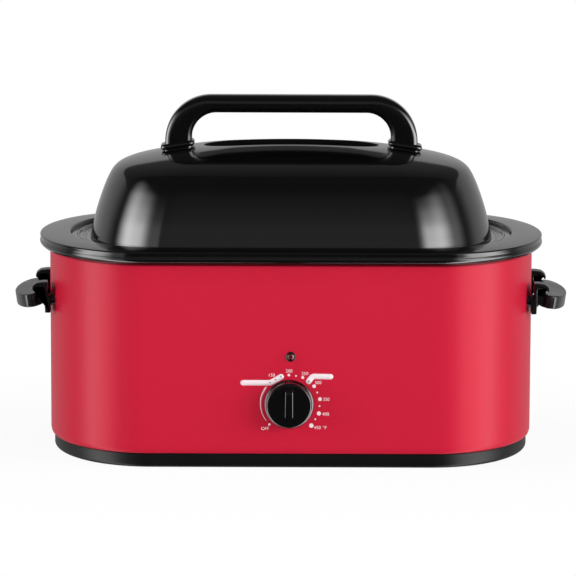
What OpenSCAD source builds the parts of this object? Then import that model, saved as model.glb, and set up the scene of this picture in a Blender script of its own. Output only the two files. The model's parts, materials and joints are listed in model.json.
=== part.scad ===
// Electric roaster oven: a red steel body with a lift-out pan and rack under a domed lid.
// Millimetres. X runs along the body, -Y faces the cook, +Z is up, and the feet stand on Z = 0.

/* [Body] */
// Half length of the top rim, the widest part of the body
rim_a = 271; // [262:1:280]
// Half depth of the top rim
rim_b = 208; // [200:1:214]
// Height of the rim's outer top edge above the table
rim_top = 231.5; // [231:0.1:232]
// Share of the half length that is straight before the ends curve
straight_share = 0.59; // [0.5:0.01:0.65]
// How far the painted shell sits inside the rim
shell_inset = 11; // [10.5:0.1:12]
// Thickness of the painted shell
shell_wall = 1.2; // [0.8:0.1:1.4]
// How much narrower the shell is at its foot than at its top, each side
shell_taper = 1.3; // [0:0.1:2.5]
// Gap between the table and the base band
band_lift = 1; // [0.5:0.5:2]

/* [Lid] */
// Half length of the lid's wall
lid_a = 213.7; // [213:0.1:214]
// Half depth of the lid's wall
lid_b = 151; // [150.5:0.1:151.2]
// Thickness of the lid's steel
lid_wall = 1.4; // [1.2:0.1:1.8]
// Height of the lid's top at the ends of its dish
lid_crown = 325.2; // [324:0.1:326]
// Depth of the dish in the lid's top
dish_depth = 6; // [4:0.5:7]
// Top of the lid's handle above the table
bow_top = 379.8; // [376:0.1:386]
// Half width of the lid's handle, outside
bow_a = 136; // [134:1:138]
// Depth of the lid's handle, front to back
bow_depth = 30; // [26:1:34]
// Thickness of the handle's top bar
bow_bar = 19; // [17:0.1:20]
// Width of each handle leg
bow_leg = 29; // [27:0.5:30]

/* [Side handles] */
// Distance from the middle to the tip of each side handle
grip_reach = 298; // [294:1:302]
// Half width of the side handles along the body's end
grip_b = 77; // [75:1:82]
// Thickness of the side handles
grip_thick = 14; // [12:0.5:15]
// Distance of each hook post from the middle of the end
post_y = 61.7; // [60:0.1:64]
// Width of the hook posts
post_depth = 25; // [22:1:26]
// Top of the hook posts above the table
post_top = 183.7; // [181:0.1:186]

/* [Controls] */
// Place of the knob's centre along the body
knob_x = -1.6; // [-4:0.1:4]
// Height of the knob's centre above the table
knob_z = 69.6; // [68:0.1:74]
// Radius of the knob's skirt
knob_r = 26; // [24:0.1:27]
// How far the knob stands out of the shell
knob_reach = 21; // [19:0.5:22]
// Height of the indicator lamp above the table
lamp_z = 119.9; // [116:0.1:126]
// Radius of the indicator lamp's bezel
lamp_r = 5.3; // [5:0.1:6]

/* [Inside] */
// Half length of the roasting pan's wall at its mouth
pan_a = 211.5; // [210.5:0.1:211.5]
// Half depth of the roasting pan's wall at its mouth
pan_b = 148.5; // [147.5:0.1:148.5]
// Height of the underside of the pan's floor
pan_floor = 62; // [56:1:64]
// Thickness of the pan's steel
pan_wall = 1.2; // [1:0.1:1.3]
// Gap between neighbouring wires of the rack
rack_pitch = 26; // [22:1:34]
// Radius of the rack's wires
rack_wire = 2; // [1.6:0.1:2.4]

/* [Hidden] */

red = "#c02036";
black = "#18181a";
enamel = "#0e0e10";
steel = "#b9bcc0";
zinc = "#c9ccce";

arc_steps = 14;      // points along each quarter of an end curve
round_fn = 48;       // sides of turned parts
small_fn = 24;       // sides of screws and wires
sides = [-1, 1];
gap = 0.3;           // clearance between pieces that part

shell_a = rim_a - shell_inset;
shell_b = rim_b - shell_inset;
shell_foot_a = shell_a - shell_taper;
shell_foot_b = shell_b - shell_taper;
shell_foot_z = 20.6;               // where the shell starts to curl in
shell_flange_z = 226.2;            // top of the shell's inward flange
band_a = shell_foot_a - 4;
band_b = shell_foot_b - 4;
band_top = 15.8;
plate_z = band_lift + 3.1;         // underside of the bottom plate
plate_thick = 1.2;
liner_a = 224;
liner_b = 161;
liner_floor = 40;
liner_foot_shrink = 2.5;
liner_foot_z = 54;
liner_flange_z = 224.9;
pan_foot_shrink = 9;
pan_foot_z = pan_floor + 9;
lid_seat = 226.9;                  // the pan's innermost ledge, where the lid rests
lid_foot = lid_seat + gap;
leg_x = bow_a - bow_leg / 2;
knob_back = front_wall(knob_z) + 1.1;

// One quarter of the plan outline, from the middle of the front to the tip of the end
function quarter(a, b) = [
    for (i = [0 : arc_steps])
        let (t = 90 * i / arc_steps)
        [a * (straight_share + (1 - straight_share) * sin(t)), b * cos(t)]
];

// The whole plan outline, anticlockwise seen from above, with straight front and back
function outline(a, b) = let (q = quarter(a, b), n = arc_steps) concat(
    [for (i = [n : -1 : 0]) [q[i][0], q[i][1]]],
    [for (i = [0 : n - 1]) [-q[i][0], q[i][1]]],
    [for (i = [n : -1 : 0]) [-q[i][0], -q[i][1]]],
    [for (i = [0 : n - 1]) [q[i][0], -q[i][1]]]
);

// One section's points; its fourth number arches it upwards from its tips to its middle
function ring(section) = let (crown = len(section) > 3 ? section[3] : 0) [
    for (p = outline(section[0], section[1]))
        [p[0], p[1], section[2] + crown * (1 - pow(p[0] / section[0], 2))]
];

// A skin through sections [half length, half depth, height, crown], with flat caps at
// both ends, or closed on itself into a hoop
module loft(sections, hoop = false) {
    count = len(outline(1, 1));
    rings = len(sections);
    spans = hoop ? rings : rings - 1;
    points = [for (s = sections) each ring(s)];
    walls = [
        for (k = [0 : spans - 1], i = [0 : count - 1])
            let (
                low = k * count,
                high = ((k + 1) % rings) * count,
                next = (i + 1) % count
            )
            each [[low + i, high + next, low + next], [low + i, high + i, high + next]]
    ];
    floor_cap = [[for (i = [0 : count - 1]) i]];
    top_cap = [[for (i = [count - 1 : -1 : 0]) (rings - 1) * count + i]];
    polyhedron(points, hoop ? walls : concat(walls, floor_cap, top_cap), convexity = 8);
}

// The shell's half depth at a height, measured at the middle of the front
function front_wall(z) = -(shell_foot_b
    + (shell_b - shell_foot_b) * (z - shell_foot_z) / (shell_flange_z - shell_foot_z));

function reversed(list) = [for (i = [len(list) - 1 : -1 : 0]) list[i]];

// Rounded rectangle in the plane, corner to corner about the origin
module rounded_square(w, h, r) {
    square([w - 2 * r, h], center = true);
    square([w, h - 2 * r], center = true);
    for (x = sides, y = sides)
        translate([x * (w / 2 - r), y * (h / 2 - r)])
            circle(r, $fn = round_fn);
}

function unit(v) = v / norm(v);

// Cuts the corners of a route, keeping its two ends
function softened(route) = [
    route[0],
    for (i = [0 : len(route) - 2])
        each [
            route[i] * (i == 0 ? 0.6 : 0.75) + route[i + 1] * (i == 0 ? 0.4 : 0.25),
            route[i] * 0.25 + route[i + 1] * 0.75
        ],
    route[len(route) - 1]
];

tube_sides = 8;
tube_lean = [0.31, 0.55, 0.77];    // no wire runs this way, so it can steer the tubes' sides

// A tube of one radius along a route of points
module tube(route, r) {
    last = len(route) - 1;
    points = [
        for (i = [0 : last])
            let (
                ahead = route[min(i + 1, last)] - route[max(i - 1, 0)],
                side = unit(cross(unit(ahead), tube_lean)),
                up = cross(unit(ahead), side)
            )
            for (k = [0 : tube_sides - 1])
                route[i] + r * (cos(360 * k / tube_sides) * side + sin(360 * k / tube_sides) * up)
    ];
    walls = [
        for (i = [0 : last - 1], k = [0 : tube_sides - 1])
            let (
                low = i * tube_sides,
                next = (k + 1) % tube_sides
            )
            each [
                [low + k, low + tube_sides + next, low + next],
                [low + k, low + tube_sides + k, low + tube_sides + next]
            ]
    ];
    start_cap = [[for (k = [0 : tube_sides - 1]) k]];
    end_cap = [[for (k = [tube_sides - 1 : -1 : 0]) last * tube_sides + k]];
    polyhedron(points, concat(walls, start_cap, end_cap), convexity = 4);
}

module wire(route, r) {
    tube(softened(softened(route)), r);
}

// A cylinder that points along +Y from the given front face
module along_y(r, from, to, x = 0, z = 0, fn = round_fn) {
    translate([x, from, z])
        rotate([-90, 0, 0])
            cylinder(to - from, r, r, $fn = fn);
}

gland_x = 96;
gland_z = 34;
gland_r = 8;
post_boss_z = 164;
vent_width = 3.6;
seam_gap = 0.1;        // between the shell's two halves
seam_lap = 9;
seam_low = 24;
seam_high = 222;

// The painted wall all the way round, with an inward flange at its top and its foot
module shell_wall_hoop() {
    w = shell_wall;
    loft([
        [shell_foot_a - 14, shell_foot_b - 14, band_top + 0.2],
        [shell_foot_a - 5, shell_foot_b - 5, band_top + 0.2],
        [shell_foot_a - 1.3, shell_foot_b - 1.3, band_top + 1.6],
        [shell_foot_a, shell_foot_b, shell_foot_z],
        [shell_a, shell_b, shell_flange_z],
        [shell_a - 16, shell_b - 16, shell_flange_z],
        [shell_a - 16, shell_b - 16, shell_flange_z - w],
        [shell_a - w, shell_b - w, shell_flange_z - w],
        [shell_foot_a - w, shell_foot_b - w, shell_foot_z + 0.2],
        [shell_foot_a - w - 1.1, shell_foot_b - w - 1.1, band_top + 2.5],
        [shell_foot_a - 5.4, shell_foot_b - 5.4, band_top + 0.2 + w],
        [shell_foot_a - 14, shell_foot_b - 14, band_top + 0.2 + w]
    ], hoop = true);
}

// Holes at both ends for the posts' screws, and in the foot's flange for the band's
module shell_screw_holes() {
    for (side = sides, y = sides)
        translate([side * (shell_a - 30), y * post_y, post_boss_z])
            rotate([0, side * 90, 0])
                cylinder(40, 2.4, 2.4, $fn = small_fn);
    for (p = base_screw_points())
        translate([p[0], p[1], band_top - 1])
            cylinder(4, 2, 2, $fn = small_fn);
}

// Everything in front of the ends' middle, or behind it
module half_space(side) {
    translate([-rim_a, side < 0 ? -rim_b : seam_gap, 0])
        cube([2 * rim_a, rim_b, rim_top]);
}

// The painted shell is two half wraps that meet behind the side handles
module shell_front() {
    color(red)
        difference() {
            intersection() {
                shell_wall_hoop();
                half_space(-1);
            }
            shell_screw_holes();
            along_y(5.4, -shell_b - 5, -shell_b + 10, knob_x, knob_z);
            along_y(4.6, -shell_b - 5, -shell_b + 10, 0, lamp_z);
            for (x = sides)
                along_y(1.7, -shell_b - 5, -shell_b + 10, knob_x + x * 17, knob_z, small_fn);
        }
}

module shell_back() {
    color(red) {
        difference() {
            intersection() {
                shell_wall_hoop();
                half_space(1);
            }
            shell_screw_holes();
            along_y(gland_r + 0.2, shell_b - 10, shell_b + 5, gland_x, gland_z);
        }
        seam_lip(shell_wall + 0.05, -seam_lap);
        seam_lip(shell_wall - 0.3, seam_gap);
    }
}

// Lip of the back half, which laps behind the edge of the front half at both ends
module seam_lip(inset, from) {
    thick = 2 * shell_wall;
    intersection() {
        loft([
            [shell_foot_a - inset, shell_foot_b - inset, seam_low],
            [shell_a - inset, shell_b - inset, seam_high],
            [shell_a - thick, shell_b - thick, seam_high],
            [shell_foot_a - thick, shell_foot_b - thick, seam_low]
        ], hoop = true);
        translate([-rim_a, from, 0])
            cube([2 * rim_a, seam_lap - from, rim_top]);
    }
}

// Screws that join the base band to the shell's flange, under the ends' shoulders
function base_screw_points() = let (q = quarter(shell_foot_a - 9.6, shell_foot_b - 9.6))
    [for (x = sides, y = sides) [x * q[6][0], y * q[6][1]]];

recess = 1.9;          // depth of the band's pockets for its screw heads

module base_band() {
    color(black)
        difference() {
            loft([
                [band_a - 18, band_b - 18, band_lift],
                [band_a - 2, band_b - 2, band_lift],
                [band_a, band_b, band_lift + 2.4],
                [band_a, band_b, band_top],
                [band_a - 10, band_b - 10, band_top],
                [band_a - 10, band_b - 10, band_top - 2.6],
                [band_a - 2.8, band_b - 2.8, band_top - 2.6],
                [band_a - 2.8, band_b - 2.8, band_lift + 3],
                [band_a - 18, band_b - 18, band_lift + 3]
            ], hoop = true);
            for (p = base_screw_points())
                translate([p[0], p[1], band_lift - 1]) {
                    cylinder(20, 2, 2, $fn = small_fn);
                    cylinder(1 + recess, 3.4, 3.4, $fn = small_fn);
                }
            for (p = plate_screw_points())
                translate([p[0], p[1], band_lift - 1]) {
                    cylinder(6, 1.7, 1.7, $fn = small_fn);
                    cylinder(1 + recess, 3.6, 3.6, $fn = small_fn);
                }
        }
}

foot_x = 178;
foot_y = 108;

function plate_screw_points() = [for (x = sides, y = sides) [x * 90, y * (band_b - 12)]];

module bottom_plate() {
    color(zinc)
        difference() {
            translate([0, 0, plate_z])
                linear_extrude(plate_thick)
                    polygon(outline(band_a - 3.4, band_b - 3.4));
            for (p = base_screw_points())
                translate([p[0], p[1], 0])
                    cylinder(20, 5.2, 5.2, $fn = small_fn);
            for (p = plate_screw_points())
                translate([p[0], p[1], 0])
                    cylinder(20, 2, 2, $fn = small_fn);
            for (x = sides, y = sides) {
                translate([x * foot_x, y * foot_y, 0])
                    cylinder(20, 4, 4, $fn = small_fn);
                translate([x * standoff_x, y * standoff_y, 0])
                    cylinder(20, 2.2, 2.2, $fn = small_fn);
            }
            for (x = [-3 : 3], y = sides)
                translate([x * 30 - vent_width / 2, y * 62 - 18, plate_z - 1])
                    cube([vent_width, 36, 4]);
            translate([earth_x, earth_y, 0])
                cylinder(20, 2.1, 2.1, $fn = small_fn);
        }
}

module rubber_feet() {
    color("#222224")
        for (x = sides, y = sides)
            translate([x * foot_x, y * foot_y, 0]) {
                cylinder(plate_z - 0.05, 11, 13, $fn = round_fn);
                cylinder(plate_z + plate_thick + 3, 3.9, 3.9, $fn = small_fn);
                translate([0, 0, plate_z + plate_thick + 0.1])
                    cylinder(3, 5.5, 4.2, $fn = small_fn);
            }
}

// The black rim: a crowned top, a rolled outer edge and an inner ledge for the pan
rim_profile = [
    [10.7, -15.7], [7.8, -15.1], [3.9, -13], [1.2, -10.8], [0, -8.8], [0.3, -6.8], [0.9, -5.2],
    [0.7, -3.2], [0.3, -1.4], [0.8, -0.4], [2, 0], [11, 0.9], [21, 1.5], [31.6, 1.8], [33, 1.1], [33.4, -1], [33.5, -4], [38, -4],
    [38, -6.4], [30.8, -6.4], [30.8, -1.1], [21, -1.2], [11, -1.8], [5, -2.8], [3.6, -4.6],
    [3.4, -7.8], [4.8, -9.8], [8, -11.9], [10.7, -12.6]
];

module top_rim() {
    color(black)
        loft([for (p = rim_profile) [rim_a - p[0], rim_b - p[0], rim_top + p[1]]], hoop = true);
}

standoff_x = 120;
standoff_y = 70;

module inner_liner() {
    s = liner_foot_shrink;
    w = 1.2;
    color(zinc)
        difference() {
            loft([
                [liner_a - 28, liner_b - 28, liner_floor],
                [liner_a - 14, liner_b - 14, liner_floor + 1.5],
                [liner_a - 6, liner_b - 6, liner_floor + 6],
                [liner_a - s, liner_b - s, liner_foot_z],
                [liner_a, liner_b, liner_flange_z - 2],
                [liner_a + 1, liner_b + 1, liner_flange_z - w],
                [liner_a + 23, liner_b + 23, liner_flange_z - w],
                [liner_a + 23, liner_b + 23, liner_flange_z],
                [liner_a - 0.2, liner_b - 0.2, liner_flange_z],
                [liner_a - w, liner_b - w, liner_flange_z - 2],
                [liner_a - s - w, liner_b - s - w, liner_foot_z + 0.3],
                [liner_a - 6.9, liner_b - 6.9, liner_floor + 7],
                [liner_a - 14.5, liner_b - 14.5, liner_floor + 2.7],
                [liner_a - 28, liner_b - 28, liner_floor + w]
            ]);
            for (x = sides, y = sides)
                translate([x * standoff_x, y * standoff_y, liner_floor - 1])
                    cylinder(4, 2.2, 2.2, $fn = small_fn);
        }
}

// Spacer tubes that carry the liner on the bottom plate, each with its screw
module liner_standoffs() {
    color(steel)
        for (x = sides, y = sides)
            translate([x * standoff_x, y * standoff_y, 0]) {
                translate([0, 0, plate_z + plate_thick + 0.05])
                    cylinder(liner_floor - plate_z - plate_thick - 0.1, 5, 5, $fn = small_fn);
                translate([0, 0, plate_z - 2])
                    cylinder(liner_floor - plate_z + 5, 2.1, 2.1, $fn = small_fn);
                translate([0, 0, plate_z - 2.2])
                    cylinder(2.15, 4.4, 4.4, $fn = small_fn);
                translate([0, 0, liner_floor + 1.25])
                    cylinder(2.2, 4.4, 4.4, $fn = small_fn);
            }
}

function liner_wall_a(z) = liner_a - liner_foot_shrink
    + liner_foot_shrink * (z - liner_foot_z) / (liner_flange_z - liner_foot_z);

// A flat mica heater band strapped round the liner
module heater_band(z_low, z_high) {
    depth_less = liner_a - liner_b;
    a = liner_wall_a(z_high) + 0.3;
    thick = 2.4;
    color("#8f8468")
        loft([
            [a, a - depth_less, z_low],
            [a + thick, a + thick - depth_less, z_low],
            [a + thick, a + thick - depth_less, z_high],
            [a, a - depth_less, z_high]
        ], hoop = true);
    for (x = sides)
        color(steel)
            translate([x * 12 - 3, -(a + thick - depth_less) - 4, (z_low + z_high) / 2 - 4])
                cube([6, 4.5, 8]);
}

module lower_heater_band() {
    heater_band(62, 90);
}

module upper_heater_band() {
    heater_band(104, 120);
}

wrap_in = 4.2;
wrap_thick = 9;
window_width = 76;

// Glass-fibre wrap outside the heater bands, with a window behind the thermostat
module insulation_wrap() {
    color("#e8e2c4")
        difference() {
            loft([
                [liner_a + wrap_in, liner_b + wrap_in, 50],
                [liner_a + wrap_in + wrap_thick, liner_b + wrap_in + wrap_thick, 50],
                [liner_a + wrap_in + wrap_thick, liner_b + wrap_in + wrap_thick, 214],
                [liner_a + wrap_in, liner_b + wrap_in, 214]
            ], hoop = true);
            translate([-window_width / 2, -liner_b - wrap_in - wrap_thick - 5, 49])
                cube([window_width, wrap_thick + 8, 78]);
        }
}

bracket_front = front_wall(knob_z - 22) + shell_wall + 0.3;
bracket_thick = 1.2;
stat_front = bracket_front + bracket_thick + 0.05;
stat_depth = 17;
shaft_r = 3;

module thermostat_bracket() {
    color(zinc)
        difference() {
            translate([knob_x - 28, bracket_front, knob_z - 22])
                cube([56, bracket_thick, 44]);
            along_y(5.4, bracket_front - 2, bracket_front + 4, knob_x, knob_z);
            for (x = sides)
                along_y(1.7, bracket_front - 2, bracket_front + 4, knob_x + x * 17, knob_z,
                    small_fn);
        }
}

module thermostat_screws() {
    color(steel)
        for (x = sides) {
            along_y(1.5, front_wall(knob_z) - 1.2, stat_front + 6, knob_x + x * 17, knob_z,
                small_fn);
            along_y(3, front_wall(knob_z) - 1.2, front_wall(knob_z) - 0.1, knob_x + x * 17, knob_z,
                small_fn);
        }
}

module thermostat_body() {
    color("#6f5a3c")
        difference() {
            union() {
                translate([knob_x - 22, stat_front, knob_z - 16])
                    cube([44, stat_depth, 32]);
                along_y(4.7, bracket_front - 1.4, stat_front + 1, knob_x, knob_z);
                for (x = [-12, 0, 12])
                    translate([knob_x + x - 3, stat_front + 8, knob_z + 15])
                        cube([6, 0.8, 9]);
            }
            along_y(shaft_r + 0.05, bracket_front - 3, stat_front + 12, knob_x, knob_z);
            for (x = sides)
                along_y(1.6, stat_front - 1, stat_front + 7, knob_x + x * 17, knob_z, small_fn);
        }
}

module thermostat_shaft() {
    color(steel)
        along_y(shaft_r, knob_back - 12, stat_front + 10, knob_x, knob_z);
}

bulb_y = -96;
bulb_z = liner_floor - 3.1;

// Copper bulb under the liner's floor, and the capillary that joins it to the thermostat
module sensing_bulb() {
    stat_back = stat_front + stat_depth;
    color("#b87333") {
        translate([-66, bulb_y, bulb_z])
            rotate([0, 90, 0])
                cylinder(56, 2.8, 2.8, $fn = small_fn);
        wire([
            [-12, bulb_y, bulb_z], [-6, bulb_y - 4, 24], [-6, stat_back - 22, 24],
            [-16, stat_back - 8, 30], [-16, stat_back - 8, knob_z - 16.2]
        ], 0.9);
    }
}

module bulb_clips() {
    color(zinc)
        for (x = [-58, -24])
            translate([x, bulb_y, 0]) {
                translate([0, 0, bulb_z])
                    rotate([0, 90, 0])
                        difference() {
                            cylinder(6, 4, 4, center = true, $fn = small_fn);
                            cylinder(7, 2.95, 2.95, center = true, $fn = small_fn);
                            translate([-6, 0, 0])
                                cube([8, 12, 8], center = true);
                        }
                for (y = sides)
                    translate([-3, y * 3.45 - 0.55, bulb_z - 0.5])
                        cube([6, 1.1, liner_floor - bulb_z + 0.45]);
                translate([-3, 3, liner_floor - 1.1])
                    cube([6, 7, 1.05]);
            }
}

module lamp_bezel() {
    color(black)
        translate([0, front_wall(lamp_z) - 0.1, lamp_z])
            rotate([90, 0, 0])
                rotate_extrude($fn = round_fn)
                    polygon([
                        [3.7, -9], [4.4, -9], [4.4, -0.1], [lamp_r, 0.1], [lamp_r, 1],
                        [lamp_r - 0.6, 1.6], [4.2, 1.6], [3.7, 1]
                    ]);
}

module lamp_lens() {
    color([0.55, 0.03, 0.05, 0.9])
        translate([0, front_wall(lamp_z) + 0.05, lamp_z])
            rotate([90, 0, 0])
                rotate_extrude($fn = round_fn)
                    polygon([[0, -4], [3.6, -4], [3.6, 0.6], [2.8, 1.5], [1.5, 2], [0, 2.1]]);
}

module lamp_housing() {
    face = front_wall(lamp_z) + 9.2;
    color("#d8d8d2") {
        along_y(4.6, face, face + 9, 0, lamp_z);
        for (x = sides)
            translate([x * 2.2 - 0.9, face + 8.9, lamp_z - 0.4])
                cube([1.8, 5, 0.8]);
    }
}

post_in = 257.5;       // inner face of the posts' lower half
post_neck = 260.8;     // inner face of their slimmer upper half
post_out = 264;
post_foot = 151;
arm_tip = 277.3;
arm_thick = 5;
grip_in = 267.5;
grip_top = 173;        // height of the grip's top face at its inner edge
grip_droop = 8.7;
knuckle_reach = 276;   // how far each knuckle runs into the grip
knuckle_low = 158.6;
knuckle_depth = 16;

// D-shaped grip: straight inner edge, curved outer edge and short rounded ends
function grip_outline() = concat(
    [[3.2, 6 - grip_b], [6, 1.5 - grip_b], [8.5, -grip_b]],
    [for (t = [-74 : 8 : 74])
        [10 + (grip_reach - grip_in - 10) * cos(t), grip_b * sin(t) / sin(78)]],
    [[8.5, grip_b], [6, grip_b - 1.5], [3.2, grip_b - 6], [0, grip_b - 18], [0, 18 - grip_b]]
);

// Arched recess under the knuckle that joins the grip to a post
module knuckle() {
    difference() {
        translate([post_out + 0.1, -knuckle_depth / 2, knuckle_low])
            cube([knuckle_reach - post_out, knuckle_depth, grip_top - 2.6 - knuckle_low]);
        translate([post_out + 3.9, -post_depth, knuckle_low - 1.5])
            rotate([-90, 0, 0])
                cylinder(2 * post_depth, 3.8, 3.8, $fn = small_fn);
        translate([post_out - 5, 0, post_boss_z])
            rotate([0, 90, 0])
                cylinder(14, 1.9, 1.9, $fn = small_fn);
    }
}

module side_handle(side) {
    mirror([side < 0 ? 1 : 0, 0, 0]) {
        difference() {
            translate([grip_in, 0, grip_top])
                rotate([0, grip_droop, 0])
                    translate([0, 0, -grip_thick])
                        linear_extrude(grip_thick)
                            polygon(grip_outline());
            for (y = sides)
                translate([post_out - 5, y * post_y, post_boss_z])
                    rotate([0, 90, 0])
                        cylinder(14, 1.9, 1.9, $fn = small_fn);
        }
        for (y = sides)
            translate([0, y * post_y, 0])
                knuckle();
    }
}

module side_handle_left() {
    color(black)
        side_handle(-1);
}

module side_handle_right() {
    color(black)
        side_handle(1);
}

// Posts with an arm that hooks outwards over the grip, and a spacer that meets the shell
module hook_posts(side) {
    mirror([side < 0 ? 1 : 0, 0, 0])
        difference() {
            for (y = sides)
                translate([0, y * post_y, 0]) {
                    translate([0, post_depth / 2, 0])
                        rotate([90, 0, 0])
                            linear_extrude(post_depth)
                                polygon([
                                    [post_in, post_foot], [post_out - 0.8, post_foot],
                                    [post_out, post_foot + 12], [post_out, post_top - 7],
                                    [post_out + 1.4, post_top - arm_thick - 0.2],
                                    [arm_tip - 5, post_top - arm_thick - 0.2],
                                    [arm_tip - 3, post_top - 6.8],
                                    [arm_tip - 1.4, post_top - 8.9], [arm_tip, post_top - 8.2],
                                    [arm_tip, post_top - 5.2], [arm_tip - 1.8, post_top - 3],
                                    [arm_tip - 5, post_top - 0.9], [post_out + 2, post_top],
                                    [post_neck, post_top], [post_neck, post_top - 14],
                                    [post_in, post_top - 17]
                                ]);
                    translate([post_in - 9, 0, post_boss_z])
                        rotate([0, 90, 0])
                            cylinder(9.5, 6, 6, $fn = round_fn);
                }
            for (y = sides)
                translate([post_in - 20, y * post_y, post_boss_z])
                    rotate([0, 90, 0])
                        cylinder(40, 2.2, 2.2, $fn = small_fn);
            loft([
                [shell_foot_a + 0.1, shell_foot_b + 0.1, 10],
                [shell_foot_a + 0.1, shell_foot_b + 0.1, shell_foot_z],
                [shell_a + 0.1, shell_b + 0.1, shell_flange_z]
            ]);
        }
}

module hook_posts_left() {
    color(black)
        hook_posts(-1);
}

module hook_posts_right() {
    color(black)
        hook_posts(1);
}

// Where the screw leaves the shell's inner face, at the posts' distance from the middle
function end_wall(y) = let (t = y / shell_b)
    shell_a * (straight_share + (1 - straight_share) * sqrt(1 - t * t));

module handle_screws() {
    head = end_wall(post_y) - shell_wall - 4;
    color(steel)
        for (side = sides, y = sides)
            translate([0, y * post_y, post_boss_z])
                rotate([0, side * 90, 0]) {
                    translate([0, 0, head])
                        cylinder(post_out + 8 - head, 1.85, 1.85, $fn = small_fn);
                    translate([0, 0, head - 2.4])
                        cylinder(2.6, 4, 4, $fn = small_fn);
                }
}

block_x = 60;
block_y = 148;
earth_x = 20;
earth_y = 150;
floor_z = plate_z + plate_thick;

module terminal_block() {
    color("#e9e6dd")
        difference() {
            translate([block_x - 18, block_y - 10, floor_z + 0.05])
                cube([36, 20, 15]);
            for (x = [-10, 10])
                translate([block_x + x, block_y - 11, floor_z + 9]) {
                    rotate([-90, 0, 0])
                        cylinder(22, 2.4, 2.4, $fn = small_fn);
                    translate([0, 11, 0])
                        cylinder(10, 2, 2, $fn = small_fn);
                }
        }
}

module thermal_fuse() {
    color(steel)
        translate([40, 20, liner_floor - 4.2])
            rotate([0, 90, 90]) {
                cylinder(22, 3, 3, $fn = small_fn);
                translate([0, 0, -7])
                    cylinder(36, 0.8, 0.8, $fn = small_fn);
            }
}

module internal_leads() {
    stat_back = stat_front + 8.4;
    block_z = floor_z + 9;
    lead_r = 1.3;
    color("#ece8d8") {
        wire([
            [block_x - 10, block_y - 6, block_z], [block_x - 10, block_y - 14, block_z],
            [block_x - 10, block_y - 30, 22],
            [40, 70, 26], [40, 54, liner_floor - 4.2], [40, 49.8, liner_floor - 4.2]
        ], lead_r);
        wire([
            [40, 12.2, liner_floor - 4.2], [40, 8, 26], [34, -120, 22], [28, stat_back - 4, 26],
            [28, stat_back, knob_z + 28], [knob_x + 12, stat_back, knob_z + 28],
            [knob_x + 12, stat_back, knob_z + 24.1]
        ], lead_r);
        wire([
            [knob_x - 12, stat_back, knob_z + 24.1], [knob_x - 12, stat_back, knob_z + 34],
            [-9, -168.3, 108]
        ], lead_r);
        wire([
            [-15, -170.5, 76], [-27, -171, 76], [-31, stat_back, 70], [-30, stat_back, 26],
            [-30, -100, 20],
            [block_x + 4, block_y - 40, 18], [block_x + 10, block_y - 12, block_z],
            [block_x + 10, block_y - 6, block_z]
        ], lead_r);
        wire([
            [knob_x, stat_back, knob_z + 24.1], [knob_x, stat_back, lamp_z - 14],
            [2.2, front_wall(lamp_z) + 22, lamp_z - 1.4]
        ], lead_r * 0.7);
    }
}

module earth_screw() {
    color("#c9a64c")
        translate([earth_x, earth_y, 0]) {
            translate([0, 0, plate_z - 1.5])
                cylinder(10, 2, 2, $fn = small_fn);
            translate([0, 0, floor_z + 0.05])
                cylinder(2.6, 3.8, 3.8, $fn = 6);
            translate([0, 0, floor_z + 3])
                cylinder(2.2, 4.2, 4.2, $fn = small_fn);
        }
}

module base_screws() {
    color(steel) {
        for (p = base_screw_points())
            translate([p[0], p[1], 0]) {
                translate([0, 0, band_lift + 0.2])
                    cylinder(band_top + 5.8 - band_lift, 1.9, 1.9, $fn = small_fn);
                translate([0, 0, band_lift + 0.1])
                    cylinder(recess - 0.2, 3.2, 3.2, $fn = small_fn);
            }
        for (p = plate_screw_points())
            translate([p[0], p[1], 0]) {
                translate([0, 0, band_lift + 0.2])
                    cylinder(5.7, 1.6, 1.6, $fn = small_fn);
                translate([0, 0, band_lift + 0.1])
                    cylinder(recess - 0.2, 3.2, 3.2, $fn = small_fn);
            }
    }
}

gland_bore = 4.2;

// Cord inlet: a collar outside, a threaded neck through the shell and an open bore
module cord_gland() {
    face = shell_foot_b + 0.3;
    color(black)
        difference() {
            union() {
                along_y(gland_r, face - 16, face + 2, gland_x, gland_z);
                along_y(11, face, face + 5, gland_x, gland_z);
                along_y(7, face + 4, face + 16, gland_x, gland_z);
            }
            along_y(gland_bore, face - 17, face + 17, gland_x, gland_z);
        }
}

module gland_nut() {
    face = shell_foot_b - shell_wall - 0.4;
    color(black)
        difference() {
            along_y(11.5, face - 5, face - 0.1, gland_x, gland_z, 6);
            along_y(gland_r + 0.05, face - 6, face + 1, gland_x, gland_z);
        }
}

// [distance outside the wall's line, height] up the pan's outside and out along its
// beaded flange, then back along the top and down the inside
pan_flange = [
    [0, 222], [0.9, 224.9], [2.6, 225.7], [9.2, 225.8], [10.2, 226.7], [11.8, 226.7],
    [12.6, 226.2], [16, 226.3], [17.2, 228.6], [18.9, 228.6], [20, 227.8], [25.1, 227.8],
    [25.7, 228.5], [25, 229.2], [19.3, 229.2], [18.7, 230], [17.4, 230], [16.4, 227.6],
    [12.9, 227.5], [12, 228], [10.3, 228], [9.3, 226.9], [2.2, 226.9], [0.2, 226.2],
    [-1.2, 224.6], [-1.2, 222]
];

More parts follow.
